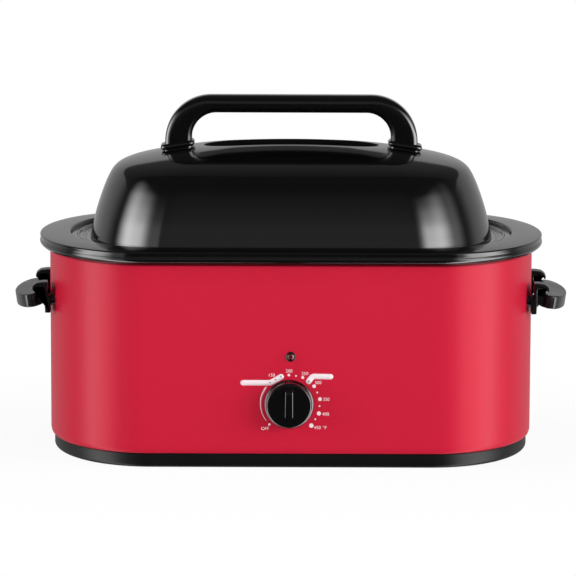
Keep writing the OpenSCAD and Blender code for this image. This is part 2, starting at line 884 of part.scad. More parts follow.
module roasting_pan() {
    w = pan_wall;
    s = pan_foot_shrink;
    color(enamel)
        loft(concat(
            [
                [pan_a - s - 8, pan_b - s - 8, pan_floor],
                [pan_a - s - 3, pan_b - s - 3, pan_floor + 1.4],
                [pan_a - s - 0.8, pan_b - s - 0.8, pan_floor + 4],
                [pan_a - s, pan_b - s, pan_foot_z]
            ],
            [for (p = pan_flange) [pan_a + p[0], pan_b + p[0], p[1]]],
            [
                [pan_a - s - w, pan_b - s - w, pan_foot_z + 0.4],
                [pan_a - s - w - 0.9, pan_b - s - w - 0.9, pan_floor + 4.8],
                [pan_a - s - w - 2.8, pan_b - s - w - 2.8, pan_floor + 2.6],
                [pan_a - s - 8.4, pan_b - s - 8.4, pan_floor + w]
            ]
        ));
}

rack_a = 186;
rack_b = 122;
rack_corner = 62;
rack_z = pan_floor + pan_wall + 10 + gap;
loop_b = 34;
loop_top = 156;
loop_corner = 12;

// Quarter turn of wire about a corner, lying in the XY plane
module wire_bend(r, wire_radius) {
    rotate_extrude(angle = 90, $fn = round_fn)
        translate([r, 0])
            circle(wire_radius, $fn = small_fn);
}

module roasting_rack() {
    w = rack_wire;
    along = rack_a - rack_corner;
    across = rack_b - rack_corner;
    wires = floor((2 * along + rack_corner) / rack_pitch / 2);
    color(steel) {
        translate([0, 0, rack_z]) {
            for (y = sides)
                translate([-along, y * rack_b, 0])
                    rotate([0, 90, 0])
                        cylinder(2 * along, w, w, $fn = small_fn);
            for (x = sides)
                translate([x * rack_a, across, 0])
                    rotate([90, 0, 0])
                        cylinder(2 * across, w, w, $fn = small_fn);
            for (turn = [0 : 3])
                translate([
                    (turn == 0 || turn == 3 ? 1 : -1) * along,
                    (turn < 2 ? 1 : -1) * across,
                    0
                ])
                    rotate([0, 0, turn * 90])
                        wire_bend(rack_corner, w);
        }
        for (i = [-wires : wires])
            rack_cross_wire(i * rack_pitch);
        translate([-rack_a, 0, rack_z - 2 * w + 0.4])
            rotate([0, 90, 0])
                cylinder(2 * rack_a, w, w, $fn = small_fn);
        for (x = sides, y = sides)
            translate([x * along, y * rack_b, pan_floor + pan_wall + gap])
                cylinder(10, w, w, $fn = small_fn);
        for (side = sides)
            rack_loop(side);
    }
}

// One wire across the rack, cut where the rounded frame comes in
module rack_cross_wire(x) {
    along = rack_a - rack_corner;
    over = max(0, abs(x) - along);
    half = rack_b - rack_corner + sqrt(rack_corner * rack_corner - over * over);
    translate([x, half, rack_z])
        rotate([90, 0, 0])
            cylinder(2 * half, rack_wire * 0.8, rack_wire * 0.8, $fn = 16);
}

// Lifting loop that stands up inside the pan's end
module rack_loop(side) {
    w = rack_wire;
    translate([side * rack_a, 0, 0]) {
        for (y = sides) {
            translate([0, y * loop_b, rack_z])
                cylinder(loop_top - loop_corner - rack_z, w, w, $fn = small_fn);
            translate([0, y * (loop_b - loop_corner), loop_top - loop_corner])
                rotate([y > 0 ? 0 : 90, 0, 0])
                    rotate([0, 90, 0])
                        rotate([0, 0, 90])
                            wire_bend(loop_corner, w);
        }
        translate([0, loop_b - loop_corner, loop_top])
            rotate([90, 0, 0])
                cylinder(2 * (loop_b - loop_corner), w, w, $fn = small_fn);
    }
}

// [inset, height, crown] up the lid's outside, from its lip to the dish in its top
lid_profile = [
    [-2.6, lid_foot, 0], [-2.9, lid_foot + 0.8, 0], [-2.6, lid_foot + 2, 0],
    [-2, lid_foot + 4, 0], [0.2, 241, 0], [2.8, 254, 0], [7.6, 267, 0], [11.3, 278, 0],
    [14.6, 287.4, 0], [19, 296, 0], [22.8, 301.2, 0], [27.4, 305.4, 0], [33.4, 308.9, 0],
    [41.4, 312, 0], [52, 314.9, 0], [64, 317.4, 0.4], [78, 320, 1.4],
    [94.7, lid_crown - 2.5, 2.6], [108, lid_crown - 0.8, 3.3], [117.6, lid_crown, 3.6],
    [119.8, lid_crown - 0.6, 3.7], [123, lid_crown - dish_depth + 0.6, 3.8],
    [125.5, lid_crown - dish_depth, 3.8], [136, lid_crown - dish_depth, 3.8]
];

// The same profile, moved square to itself into the steel
function lid_inside(thick) = let (last = len(lid_profile) - 1) [
    for (i = [3 : last])
        let (
            p = lid_profile[i],
            run = lid_profile[min(i + 1, last)] - lid_profile[i == 3 ? 3 : i - 1],
            length = norm([run[0], run[1]])
        )
        [p[0] + thick * run[1] / length, p[1] - thick * run[0] / length, p[2]]
];

function lid_section(p) = [lid_a - p[0], lid_b - p[0], p[1], p[2]];

module lid_shell() {
    inner = concat([[lid_wall - 2.6, lid_foot, 0]], lid_inside(lid_wall));
    outer = [for (p = lid_profile) lid_section(p)];
    color(enamel)
        difference() {
            loft(concat(reversed([for (p = inner) lid_section(p)]), outer));
            for (side = sides, y = sides)
                translate([side * leg_x, y * screw_y, 300])
                    cylinder(40, 2.4, 2.4, $fn = small_fn);
        }
}

screw_y = 8;
bow_inner_r = 26;
bow_outer_r = 50;
bow_foot = 325;        // height of the legs' outer lower corners
bow_edge = 3.2;
foot_slope = 9.4;      // the legs end square to the lid's crown

// Side view of the handle: a rounded bow, open below
module bow_outline(shrink) {
    inner_top = bow_top - bow_bar;
    low = 240;
    difference() {
        translate([0, (bow_top + low) / 2])
            rounded_square(2 * (bow_a - shrink), bow_top - low - 2 * shrink, bow_outer_r - shrink);
        translate([0, (inner_top + low) / 2])
            rounded_square(2 * (bow_a - bow_leg + shrink), inner_top - low + 2 * shrink,
                bow_inner_r + shrink);
        for (side = sides)
            translate([side * bow_a, bow_foot])
                rotate([0, 0, -side * foot_slope])
                    translate([-60, -60])
                        square([120, 60]);
        translate([-200, 100])
            square([400, 200]);
    }
}

module lid_handle() {
    color(enamel)
        difference() {
            union() {
                translate([0, bow_depth / 2 - bow_edge, 0])
                    rotate([90, 0, 0])
                        linear_extrude(bow_depth - 2 * bow_edge)
                            bow_outline(0);
                translate([0, bow_depth / 2, 0])
                    rotate([90, 0, 0])
                        linear_extrude(bow_depth)
                            bow_outline(bow_edge);
            }
            for (side = sides, y = sides)
                translate([side * leg_x, y * screw_y, bow_foot - 1])
                    cylinder(22, 1.95, 1.95, $fn = small_fn);
        }
}

foot_in = 104;
foot_out = 141;
foot_d = 38;
foot_corner = 8;
foot_round = 3.2;      // half the collar's height, the radius of its rounded edge

// The lid's crown as a solid, raised a little, for what sits on it
module lid_top_solid(lift) {
    first = 12;
    low = lid_section(lid_profile[first]);
    loft(concat(
        [[low[0], low[1], low[2] - 20]],
        [for (i = [first : len(lid_profile) - 1])
            let (p = lid_profile[i])
            lid_section([p[0], p[1] + lift, p[2]])]
    ));
}

// Collar with a rounded edge between a handle leg and the lid's crown
module handle_foot(side) {
    middle = (foot_in + foot_out) / 2;
    drop = (bow_a - middle) * tan(foot_slope);
    difference() {
        translate([side * middle, 0, bow_foot + drop - foot_round - 0.05])
            rotate([0, side * foot_slope, 0])
                hull()
                    for (x = sides, y = sides)
                        translate([
                            x * ((foot_out - foot_in) / 2 - foot_corner),
                            y * (foot_d / 2 - foot_corner), 0
                        ])
                            rotate_extrude($fn = 32) {
                                translate([foot_corner - foot_round, 0])
                                    circle(foot_round, $fn = 16);
                                translate([0, -6])
                                    square([foot_corner - foot_round, 6 + foot_round]);
                            }
        lid_top_solid(0.05);
        for (y = sides)
            translate([side * leg_x, y * screw_y, 300])
                cylinder(40, 2.4, 2.4, $fn = small_fn);
    }
}

module handle_foot_left() {
    color(black)
        handle_foot(-1);
}

module handle_foot_right() {
    color(black)
        handle_foot(1);
}

screw_head_z = 318.8;

module lid_handle_screws() {
    color(steel)
        for (side = sides, y = sides)
            translate([side * leg_x, y * screw_y, 0]) {
                translate([0, 0, screw_head_z])
                    cylinder(bow_foot + 16 - screw_head_z, 1.9, 1.9, $fn = small_fn);
                translate([0, 0, screw_head_z - 2.4])
                    cylinder(2.4, 3.6, 3.6, $fn = small_fn);
            }
}

module lid_screw_washers() {
    color(zinc)
        for (side = sides, y = sides)
            translate([side * leg_x, y * screw_y, screw_head_z + 0.05])
                difference() {
                    cylinder(1, 5, 5, $fn = small_fn);
                    translate([0, 0, -1])
                        cylinder(3, 2.2, 2.2, $fn = small_fn);
                }
}

grip_w = 8.6;
grip_crest = 12;       // height above the knob's centre at which its grip bar stands out most

// Round knob on a thin skirt; the grip bar slopes back to the skirt above its crest and
// dies into the face below
module control_knob() {
    front = knob_reach - 1.1;
    face = front - 3.4;
    color(enamel)
        translate([knob_x, knob_back - 2.2, knob_z])
            rotate([90, 0, 0])
                difference() {
                    union() {
                        rotate_extrude($fn = 96)
                            polygon([
                                [0, 0], [knob_r - 0.5, 0], [knob_r, 0.5], [knob_r, 1.6],
                                [knob_r - 0.8, 2.4], [knob_r - 1.5, 3.2], [knob_r - 1.9, face - 3.6],
                                [knob_r - 2.6, face - 1.5], [knob_r - 4.4, face - 0.3],
                                [knob_r - 7, face], [0, face]
                            ]);
                        translate([-grip_w / 2, 0, 0])
                            rotate([90, 0, 90])
                                linear_extrude(grip_w)
                                    polygon([
                                        [-18, 6], [knob_r - 0.6, 1], [knob_r - 1.2, 4.5],
                                        [grip_crest + 6, front - 3], [grip_crest + 3, front - 0.6],
                                        [grip_crest, front], [-18, face]
                                    ]);
                    }
                    translate([0, 0, -0.1])
                        cylinder(2.2, knob_r - 4, knob_r - 4, $fn = 96);
                    translate([0, 0, -1])
                        cylinder(12.5, shaft_r + 0.05, shaft_r + 0.05, $fn = round_fn);
                    translate([0, 0, 5])
                        cylinder(2, 4.4, 4.4, $fn = round_fn);
                }
}

// Spring ring that grips the shaft inside the knob
module knob_clip() {
    color(steel)
        translate([knob_x, knob_back - 2.2 - 5.2, knob_z])
            rotate([90, 0, 0])
                difference() {
                    cylinder(1.6, 4.3, 4.3, $fn = round_fn);
                    translate([0, 0, -1])
                        cylinder(4, shaft_r + 0.05, shaft_r + 0.05, $fn = round_fn);
                    translate([0, -1, -1])
                        cube([6, 2, 4]);
                }
}

shell_front();
shell_back();
base_band();
bottom_plate();
rubber_feet();
top_rim();
inner_liner();
liner_standoffs();
lower_heater_band();
upper_heater_band();
insulation_wrap();
thermostat_body();
thermostat_bracket();
thermostat_screws();
sensing_bulb();
bulb_clips();
lamp_bezel();
lamp_lens();
lamp_housing();
side_handle_left();
side_handle_right();
hook_posts_left();
hook_posts_right();
handle_screws();
terminal_block();
thermal_fuse();
internal_leads();
earth_screw();
base_screws();
cord_gland();
gland_nut();
roasting_pan();
roasting_rack();
lid_shell();
lid_handle();
handle_foot_left();
handle_foot_right();
lid_handle_screws();
lid_screw_washers();
control_knob();
thermostat_shaft();
knob_clip();
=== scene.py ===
import json
import math
import bpy
import numpy as np
from mathutils import Matrix, Vector


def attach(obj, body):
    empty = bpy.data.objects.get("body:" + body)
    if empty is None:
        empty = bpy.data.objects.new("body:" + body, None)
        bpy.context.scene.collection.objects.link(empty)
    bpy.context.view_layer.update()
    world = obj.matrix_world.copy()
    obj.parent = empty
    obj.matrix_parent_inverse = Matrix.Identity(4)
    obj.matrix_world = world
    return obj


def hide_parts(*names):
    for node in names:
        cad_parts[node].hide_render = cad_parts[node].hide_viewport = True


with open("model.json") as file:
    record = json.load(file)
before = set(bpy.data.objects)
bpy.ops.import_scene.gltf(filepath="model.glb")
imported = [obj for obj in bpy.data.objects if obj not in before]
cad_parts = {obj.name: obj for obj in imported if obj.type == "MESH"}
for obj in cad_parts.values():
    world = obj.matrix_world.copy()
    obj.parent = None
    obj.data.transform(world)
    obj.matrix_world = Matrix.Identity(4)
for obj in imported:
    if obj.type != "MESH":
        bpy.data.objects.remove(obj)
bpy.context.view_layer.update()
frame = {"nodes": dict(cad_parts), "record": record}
mm = 0.001
print("frame loaded")

camera = {"distance": 7.85, "elevation": 6.65, "targetX": -3.1, "targetZ": 170.0, "roll": 0.2,
          "lens": 457.0, "sensor": 36.0, "clip": 60.0}
studio = {"front": 0.36, "frontHigh": 0.02, "side": 9.0, "rightSide": 1.2, "veil": 1.3, "overhead": 0.03,
          "flank": 0.08, "back": 0.45, "backHigh": 0.08, "floorTone": 0.8, "floorGlow": 0.93,
          "floorReach": 25.0, "glowFrom": 0.3, "glowTo": 0.8}


def addCamera(c):
    data = bpy.data.cameras.new("studioCamera")
    data.lens = c["lens"]
    data.sensor_width = c["sensor"]
    data.clip_end = c["clip"]
    eye = bpy.data.objects.new("studioCamera", data)
    bpy.context.collection.objects.link(eye)
    target = Vector((c["targetX"] * mm, 0.0, c["targetZ"] * mm))
    rise = c["distance"] * math.tan(math.radians(c["elevation"]))
    eye.location = target + Vector((0.0, -c["distance"], rise))
    turn = (target - eye.location).to_track_quat("-Z", "Y").to_matrix().to_4x4()
    roll = Matrix.Rotation(math.radians(c["roll"]), 4, "Z")
    eye.matrix_world = Matrix.Translation(eye.location) @ turn @ roll
    bpy.context.scene.camera = eye


addCamera(camera)
print("camera set")


# A part is a pair: an array of points in mm and a list of faces.

def planLap(perArc=40, perStraight=22, share=0.59):
    # one anticlockwise lap of the body's plan for half sizes of 1: elliptical ends, straight front and back
    turn = np.linspace(0, math.pi / 2, perArc, endpoint=False)
    run = np.linspace(share, -share, perStraight, endpoint=False)
    end = np.stack([share + (1 - share) * np.cos(turn), np.sin(turn)], 1)
    back = np.stack([run, np.ones(perStraight)], 1)
    endBack = np.stack([-share - (1 - share) * np.sin(turn), np.cos(turn)], 1)
    half = np.concatenate([end, back, endBack])
    return np.concatenate([half, -half])


def gridFaces(rows, columns, wrapRows=False, wrapColumns=True):
    # quads between neighbouring rows and columns of a grid of points
    row, column = np.meshgrid(np.arange(rows - (not wrapRows)), np.arange(columns - (not wrapColumns)),
                              indexing="ij")
    nextRow, nextColumn = (row + 1) % rows, (column + 1) % columns
    corners = [row * columns + column, row * columns + nextColumn,
               nextRow * columns + nextColumn, nextRow * columns + column]
    return np.stack(corners, -1).reshape(-1, 4).tolist()


def tubeFaces(rows, columns, hoop=False):
    # a skin over a stack of rings: a hoop joins its last ring to its first, anything else is capped
    faces = gridFaces(rows, columns, wrapRows=hoop)
    if not hoop:
        faces.append(list(range(columns))[::-1])
        faces.append(list(range((rows - 1) * columns, rows * columns)))
    return faces


def loftPart(profile, lap, hoop=False):
    # each profile row is half length, half depth, height, crown; x = a u, y = b v, z + crown (1 - u^2)
    a, b, z, crown = [column[:, None] for column in np.asarray(profile, float).T]
    u, v = lap[None, :, 0], lap[None, :, 1]
    points = np.stack([a * u, b * v, z + crown * (1 - u * u)], -1).reshape(-1, 3)
    return points, tubeFaces(len(profile), len(lap), hoop)


def rounded(corners, reach, steps=6, closed=False):
    # each corner becomes a parabola from a reach before it to a reach after it
    corners = np.asarray(corners, float)
    before, after = np.roll(corners, 1, 0), np.roll(corners, -1, 0)
    lengthBefore = np.linalg.norm(corners - before, axis=1)
    lengthAfter = np.linalg.norm(after - corners, axis=1)
    cut = np.minimum(np.broadcast_to(reach, len(corners)), 0.49 * np.minimum(lengthBefore, lengthAfter))
    start = corners + (before - corners) * (cut / lengthBefore)[:, None]
    stop = corners + (after - corners) * (cut / lengthAfter)[:, None]
    s = np.linspace(0, 1, steps + 1)[None, :, None]
    curve = (1 - s) ** 2 * start[:, None] + 2 * s * (1 - s) * corners[:, None] + s ** 2 * stop[:, None]
    if closed:
        return curve.reshape(-1, corners.shape[1])
    middle = curve[1:-1].reshape(-1, corners.shape[1])
    return np.concatenate([corners[:1], middle, corners[-1:]])


def smoothRun(points, per=6):
    # a Catmull-Rom curve: it passes through every point, along the line between its neighbours
    p = np.asarray(points, float)
    ghost = np.concatenate([2 * p[:1] - p[1:2], p, 2 * p[-1:] - p[-2:-1]])
    a, b, c, d = ghost[:-3, None], ghost[1:-2, None], ghost[2:-1, None], ghost[3:, None]
    s = np.linspace(0, 1, per, endpoint=False)[None, :, None]
    curve = 0.5 * (2 * b + (c - a) * s + (2 * a - 5 * b + 4 * c - d) * s ** 2
                   + (3 * b - a - 3 * c + d) * s ** 3)
    return np.concatenate([curve.reshape(-1, p.shape[1]), p[-1:]])


def slabPart(outline, thickness, edge, steps=4):
    # a plate of an outline in X and Y: its rim is a wall between two quarter-round edges
    p = np.asarray(outline, float)
    along = np.roll(p, -1, 0) - np.roll(p, 1, 0)
    along /= np.linalg.norm(along, axis=1)[:, None]
    inward = np.stack([-along[:, 1], along[:, 0]], 1)
    turn = np.linspace(0, math.pi / 2, steps + 1)
    inset = edge * (1 - np.sin(turn))
    low = edge * (1 - np.cos(turn))
    insets = np.concatenate([inset, inset[::-1]])
    heights = np.concatenate([low, thickness - low[::-1]])
    plan = p[None] + inward[None] * insets[:, None, None]
    height = np.broadcast_to(heights[:, None, None], plan.shape[:2] + (1,))
    points = np.concatenate([plan, height], -1).reshape(-1, 3)
    return points, tubeFaces(len(insets), len(p))


def lathePart(profile, sides=96, hoop=False):
    # profile rows are radius and height; each is carried round the Z axis
    p = np.asarray(profile, float)
    turn = np.linspace(0, 2 * math.pi, sides, endpoint=False)
    ring = np.stack([np.cos(turn), np.sin(turn)], 1)
    flat = p[:, None, :1] * ring[None]
    height = np.broadcast_to(p[:, None, 1:2], flat.shape[:2] + (1,))
    points = np.concatenate([flat, height], -1).reshape(-1, 3)
    return points, tubeFaces(len(p), sides, hoop)


def placed(part, matrix):
    points, faces = part
    turn = np.array(matrix.to_3x3())
    shift = np.array(matrix.translation)
    if np.linalg.det(turn) < 0:
        faces = [face[::-1] for face in faces]
    return points @ turn.T + shift, faces


def merged(parts):
    points, faces, count = [], [], 0
    for partPoints, partFaces in parts:
        points.append(partPoints)
        faces += [[corner + count for corner in face] for face in partFaces]
        count += len(partPoints)
    return np.concatenate(points), faces


def turned(axis, degrees, shift=(0, 0, 0)):
    return Matrix.Translation(shift) @ Matrix.Rotation(math.radians(degrees), 4, axis)


def mirroredX(part):
    return placed(part, Matrix.Diagonal((-1, 1, 1, 1)))


def soften(mesh, sharp):
    # smooth shading with crisp edges; faces with many corners are flat caps
    mesh.shade_smooth()
    mesh.set_sharp_from_angle(angle=math.radians(sharp))
    corners = np.empty(len(mesh.polygons), int)
    mesh.polygons.foreach_get("loop_total", corners)
    mesh.polygons.foreach_set("use_smooth", corners <= 4)


def makePiece(name, part, material, body, nodes=(), sharp=50.0, thicken=0.0):
    points, faces = part
    mesh = bpy.data.meshes.new(name)
    mesh.from_pydata((points * mm).tolist(), [], faces)
    mesh.materials.append(material)
    mesh.validate()
    soften(mesh, sharp)
    piece = bpy.data.objects.new(name, mesh)
    bpy.context.collection.objects.link(piece)
    if thicken:
        skin = piece.modifiers.new("thickness", "SOLIDIFY")
        skin.thickness = thicken * mm
        skin.offset = 0.0
    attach(piece, body)
    if nodes:
        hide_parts(*nodes)
    return piece


def makePair(stem, right, slot, body, nodeStem, sharp=50.0):
    # a right piece and its mirror image, each for its own node
    for side, part in (("Right", right), ("Left", mirroredX(right))):
        makePiece(stem + side, part, paints[slot], body, [nodeStem + "_" + side.lower()], sharp)


def drill(piece, cutters):
    # takes the cutters' volume out of a piece and keeps the result as its mesh
    points, faces = merged(cutters)
    mesh = bpy.data.meshes.new("cutters")
    mesh.from_pydata((points * mm).tolist(), [], faces)
    tool = bpy.data.objects.new("cutters", mesh)
    bpy.context.collection.objects.link(tool)
    cut = piece.modifiers.new("holes", "BOOLEAN")
    cut.operation = "DIFFERENCE"
    cut.solver = "EXACT"
    cut.object = tool
    graph = bpy.context.evaluated_depsgraph_get()
    result = bpy.data.meshes.new_from_object(piece.evaluated_get(graph))
    piece.modifiers.clear()
    piece.data = result
    bpy.data.objects.remove(tool)


def rodPart(radius, start, length, axis="Z", sides=32):
    # a plain round rod from a start point along +X, +Y or +Z
    part = lathePart([[radius, 0], [radius, length]], sides)
    spin = {"X": turned("Y", 90), "Y": turned("X", -90), "Z": Matrix.Identity(4)}[axis]
    return placed(part, Matrix.Translation(start) @ spin)


def blockPart(low, high):
    # a box between two opposite corners
    outline = [[low[0], low[1]], [high[0], low[1]], [high[0], high[1]], [low[0], high[1]]]
    points, faces = loftPart([[1, 1, 0, 0], [1, 1, 1, 0]], np.array(outline, float))
    points[:, 2] = low[2] + points[:, 2] * (high[2] - low[2])
    return points, faces


class Value:
    # a shader value that Python sums can be written with
    def __init__(self, tree, socket):
        self.tree, self.socket = tree, socket

    def sum(self, operation, other=None, swap=False):
        node = self.tree.nodes.new("ShaderNodeMath")
        node.operation = operation
        pair = [self, other][::-1] if swap else [self, other]
        for place, item in enumerate(pair):
            if isinstance(item, Value):
                self.tree.links.new(item.socket, node.inputs[place])
            elif item is not None:
                node.inputs[place].default_value = item
        return Value(self.tree, node.outputs[0])

    def __add__(self, other): return self.sum("ADD", other)
    def __radd__(self, other): return self.sum("ADD", other)
    def __sub__(self, other): return self.sum("SUBTRACT", other)
    def __rsub__(self, other): return self.sum("SUBTRACT", other, True)
    def __mul__(self, other): return self.sum("MULTIPLY", other)
    def __rmul__(self, other): return self.sum("MULTIPLY", other)
    def __truediv__(self, other): return self.sum("DIVIDE", other)
    def __pow__(self, other): return self.sum("POWER", other)
    def above(self, other): return self.sum("GREATER_THAN", other)
    def clamped(self): return self.sum("MAXIMUM", 0.0).sum("MINIMUM", 1.0)


class Finish:
    # one material: its nodes are made with add(), and its fixed numbers sit on the shader itself
    def __init__(self, name, colour, roughness, **fixed):
        self.material = bpy.data.materials.new(name)
        self.material.use_nodes = True
        self.tree = self.material.node_tree
        self.shader = self.tree.nodes["Principled BSDF"]
        self.colour = tuple(colour) + (1.0,) * (4 - len(colour))
        self.put("Base Color", self.colour)
        self.put("Roughness", roughness)
        for key, value in fixed.items():
            self.put(key, value)

    names = {"metal": "Metallic", "ior": "IOR", "level": "Specular IOR Level", "coat": "Coat Weight",
             "coatRough": "Coat Roughness", "sheen": "Sheen Weight", "normal": "Normal"}

    def put(self, key, value):
        socket = self.shader.inputs[self.names.get(key, key)]
        if isinstance(value, Value):
            self.tree.links.new(value.socket, socket)
        else:
            socket.default_value = value

    def add(self, kind, settings=None, output=0, **sockets):
        node = self.tree.nodes.new("ShaderNode" + kind)
        for key, value in (settings or {}).items():
            setattr(node, key, value)
        for key, value in sockets.items():
            # i0 is the first input by place, and any other key is an input's name
            numbered = key[0] == "i" and key[1:].isdigit()
            socket = node.inputs[int(key[1:]) if numbered else key]
            if isinstance(value, Value):
                self.tree.links.new(value.socket, socket)
            else:
                socket.default_value = value
        return Value(self.tree, node.outputs[output])

    def place(self, scale=(1, 1, 1), turn=(0, 0, 0)):
        spot = self.add("TexCoord", output=3)
        return self.add("Mapping", Vector=spot, Scale=scale, Rotation=turn)

    def noise(self, scale, detail=3.0, stretch=(1, 1, 1), rough=0.5, turn=(0, 0, 0)):
        return self.add("TexNoise", Vector=self.place(stretch, turn), Scale=scale, Detail=detail,
                        Roughness=rough)

    def cells(self, scale, output=0):
        return self.add("TexVoronoi", output=output, Vector=self.place(), Scale=scale)

    def blend(self, share, first, second):
        return self.add("Mix", {"data_type": "RGBA"}, 2, i0=share, i6=first, i7=second)

    def toned(self, share, dark, light=1.0):
        # the base colour, shaded between two multiples of itself
        first = tuple(c * dark for c in self.colour[:3]) + (1.0,)
        second = tuple(min(1.0, c * light) for c in self.colour[:3]) + (1.0,)
        self.put("Base Color", self.blend(share, first, second))

    def bump(self, height, distance, strength=1.0):
        self.put("normal", self.add("Bump", Height=height, Distance=distance * mm, Strength=strength))


def glossPaint(name, colour, roughness, level, peel):
    # sprayed paint or enamel: orange peel, a faint drift in tone, fine dust and hairline marks
    speckRough, markRough = 0.048, 0.096
    f = Finish(name, colour, roughness, level=level)
    f.toned(f.noise(6.0, 2.0), 0.985, 1.015)
    f.bump(f.noise(420.0, 2.0), peel)
    specks = f.noise(2600.0, 1.0).above(0.68)
    marks = (f.noise(40.0, 4.0, (1, 1, 14), 0.6, (0.2, 0.1, 0.7)) - 0.62).clamped()
    f.put("Roughness", roughness + specks * speckRough + marks * markRough)
    return f.material


def mouldedPlastic(name, colour, roughness, level=0.4, grain=0.02):
    # moulded plastic: fine spark-eroded grain, flow streaks, and a few rubbed, shinier places
    f = Finish(name, colour, roughness, level=level)
    f.toned(f.noise(18.0, 3.0, (1, 1, 0.3)), 0.85, 1.2)
    f.bump(f.noise(1900.0, 3.0), grain)
    rubbed = (f.noise(30.0, 4.0) - 0.5).clamped()
    f.put("Roughness", roughness - rubbed * 0.25)
    return f.material


def sheetMetal(name, colour, roughness, spangle=0.0, streak=0.0):
    # bare sheet: zinc spangle as flat cells of differing tone, or drawn streaks
    f = Finish(name, colour, roughness, metal=1.0)
    grains = f.cells(55.0, output=1)
    tone = f.add("RGBToBW", Color=grains)
    lines = f.noise(60.0, 3.0, (1, 1, 30), 0.6)
    share = tone * spangle + lines * streak + (1 - spangle - streak) * 0.5
    f.toned(share, 0.72, 1.12)
    f.put("Roughness", roughness + (share - 0.5) * 0.25)
    f.bump(f.noise(500.0, 2.0, (1, 1, 8)), 0.01)
    return f.material


def speckled(name, colour, roughness, scale, dark, light, depth, level=0.4):
    # a solid of mixed grains: fired clay, mica flakes or filled resin
    f = Finish(name, colour, roughness, level=level)
    grains = f.add("RGBToBW", Color=f.cells(scale, output=1))
    f.toned(grains * 0.7 + f.noise(scale * 0.3, 3.0) * 0.3, dark, light)
    f.bump(grains, depth)
    return f.material


def glassWool(name, colour):
    # needled glass fibre: crossing fine strands over a soft lumpy surface
    f = Finish(name, colour, 0.95, level=0.2, sheen=0.3)
    strandA = f.noise(90.0, 5.0, (1, 1, 12), 0.7, (0.3, 0.2, 0.9))
    strandB = f.noise(90.0, 5.0, (12, 1, 1), 0.7, (0.7, 0.5, 0.1))
    lumps = f.noise(28.0, 3.0)
    f.toned(strandA * 0.4 + strandB * 0.3 + lumps * 0.3, 0.6, 1.2)
    f.bump(strandA * 0.5 + strandB * 0.5 + lumps, 0.7)
    return f.material


def braidedSleeve(name, colour):
    # woven glass sleeving: two sets of slanting threads, with painted shade where the weave is low between
    # them
    f = Finish(name, colour, 0.8, level=0.25)
    threads = [f.add("TexWave", {"bands_direction": "DIAGONAL"}, 1, Vector=f.place((1, way, 1)),
                     Scale=330.0, Distortion=1.0) for way in (1, -1)]
    weave = threads[0] * 0.5 + threads[1] * 0.5
    # the colour follows the threads' pattern and is partly painted shade: it darkens where the weave is low,
    # between the threads
    f.toned(weave, 0.72, 1.1)
    f.bump(weave, 0.15)
    return f.material


def ruby(name, colour):
    # a clear red lens with a moulded facet pattern inside; the facets' glints and shade are painted into its
    # colour as brighter and darker cells
    f = Finish(name, colour, 0.08, level=0.5, coat=0.6, coatRough=0.03)
    # painted glints and shade: the lens's colour runs from 0.35 to 1.4 of itself over small cells
    f.toned(f.cells(700.0), 0.35, 1.4)
    return f.material


def ink(name, colour):
    # screen-printed ink: slightly raised, with an uneven, pinholed film
    f = Finish(name, colour, 0.45, level=0.3)
    film = f.noise(1500.0, 2.0)
    f.toned(film, 0.93, 1.03)
    f.bump(film, 0.01)
    return f.material


def nickel(name, colour, roughness):
    # bright plating over drawn wire: long faint draw lines and a little tarnish
    f = Finish(name, colour, roughness, metal=1.0)
    drawn = f.noise(300.0, 3.0, (1, 8, 8), 0.6)
    tarnish = f.noise(35.0, 3.0)
    f.toned(tarnish, 0.82, 1.06)
    f.put("Roughness", roughness + (tarnish - 0.45).clamped() * 0.4)
    f.bump(drawn, 0.008)
    return f.material


paints = {
    "red_paint": glossPaint("redPaint", (0.31, 0.0068, 0.0216), 0.33, 0.07, 0.006),
    "rim_enamel": glossPaint("rimEnamel", (0.002, 0.002, 0.0022), 0.14, 0.3, 0.006),
    "black_enamel": glossPaint("blackEnamel", (0.0015, 0.0015, 0.0017), 0.08, 0.5, 0.004),
    "black_gloss": glossPaint("blackGloss", (0.0018, 0.0018, 0.002), 0.1, 0.45, 0.004),
    "black_moulding": mouldedPlastic("blackMoulding", (0.0035, 0.0035, 0.0038), 0.27, 0.32),
    "band_moulding": mouldedPlastic("bandMoulding", (0.003, 0.003, 0.0033), 0.38, 0.08),
    "white_moulding": mouldedPlastic("whiteMoulding", (0.7, 0.69, 0.65), 0.4),
    "phenolic": speckled("phenolic", (0.16, 0.09, 0.04), 0.45, 900.0, 0.6, 1.3, 0.02),
    "foot_rubber": mouldedPlastic("footRubber", (0.02, 0.02, 0.021), 0.75, 0.25, 0.06),
    "lead_sleeve": braidedSleeve("leadSleeve", (0.8, 0.76, 0.62)),
    "zinc_sheet": sheetMetal("zincSheet", (0.62, 0.63, 0.64), 0.38, spangle=0.8),
    "plain_steel": sheetMetal("plainSteel", (0.55, 0.56, 0.57), 0.32, streak=0.8),
    "rack_chrome": nickel("rackChrome", (0.7, 0.7, 0.71), 0.14),
    "copper": nickel("copperTube", (0.72, 0.32, 0.16), 0.25),
    "brass": nickel("brassPlate", (0.76, 0.58, 0.24), 0.25),
    "mica": speckled("micaBand", (0.34, 0.28, 0.17), 0.4, 260.0, 0.6, 1.5, 0.05),
    "glass_fibre": glassWool("glassFibre", (0.78, 0.74, 0.56)),
    "steatite": speckled("steatite", (0.82, 0.8, 0.74), 0.35, 700.0, 0.94, 1.03, 0.01),
    "lamp_red": ruby("lampRed", (0.05, 0.002, 0.003)),
}
printWhite = ink("printWhite", (0.52, 0.44, 0.46))
printPink = ink("printPink", (0.45, 0.27, 0.31))
printBlack = ink("printBlack", (0.02, 0.02, 0.02))
for row in frame["record"]["subparts"]:
    for holder in frame["nodes"][row["node"]].material_slots:
        holder.material = paints[row["material_slot"]]
print("materials ready")

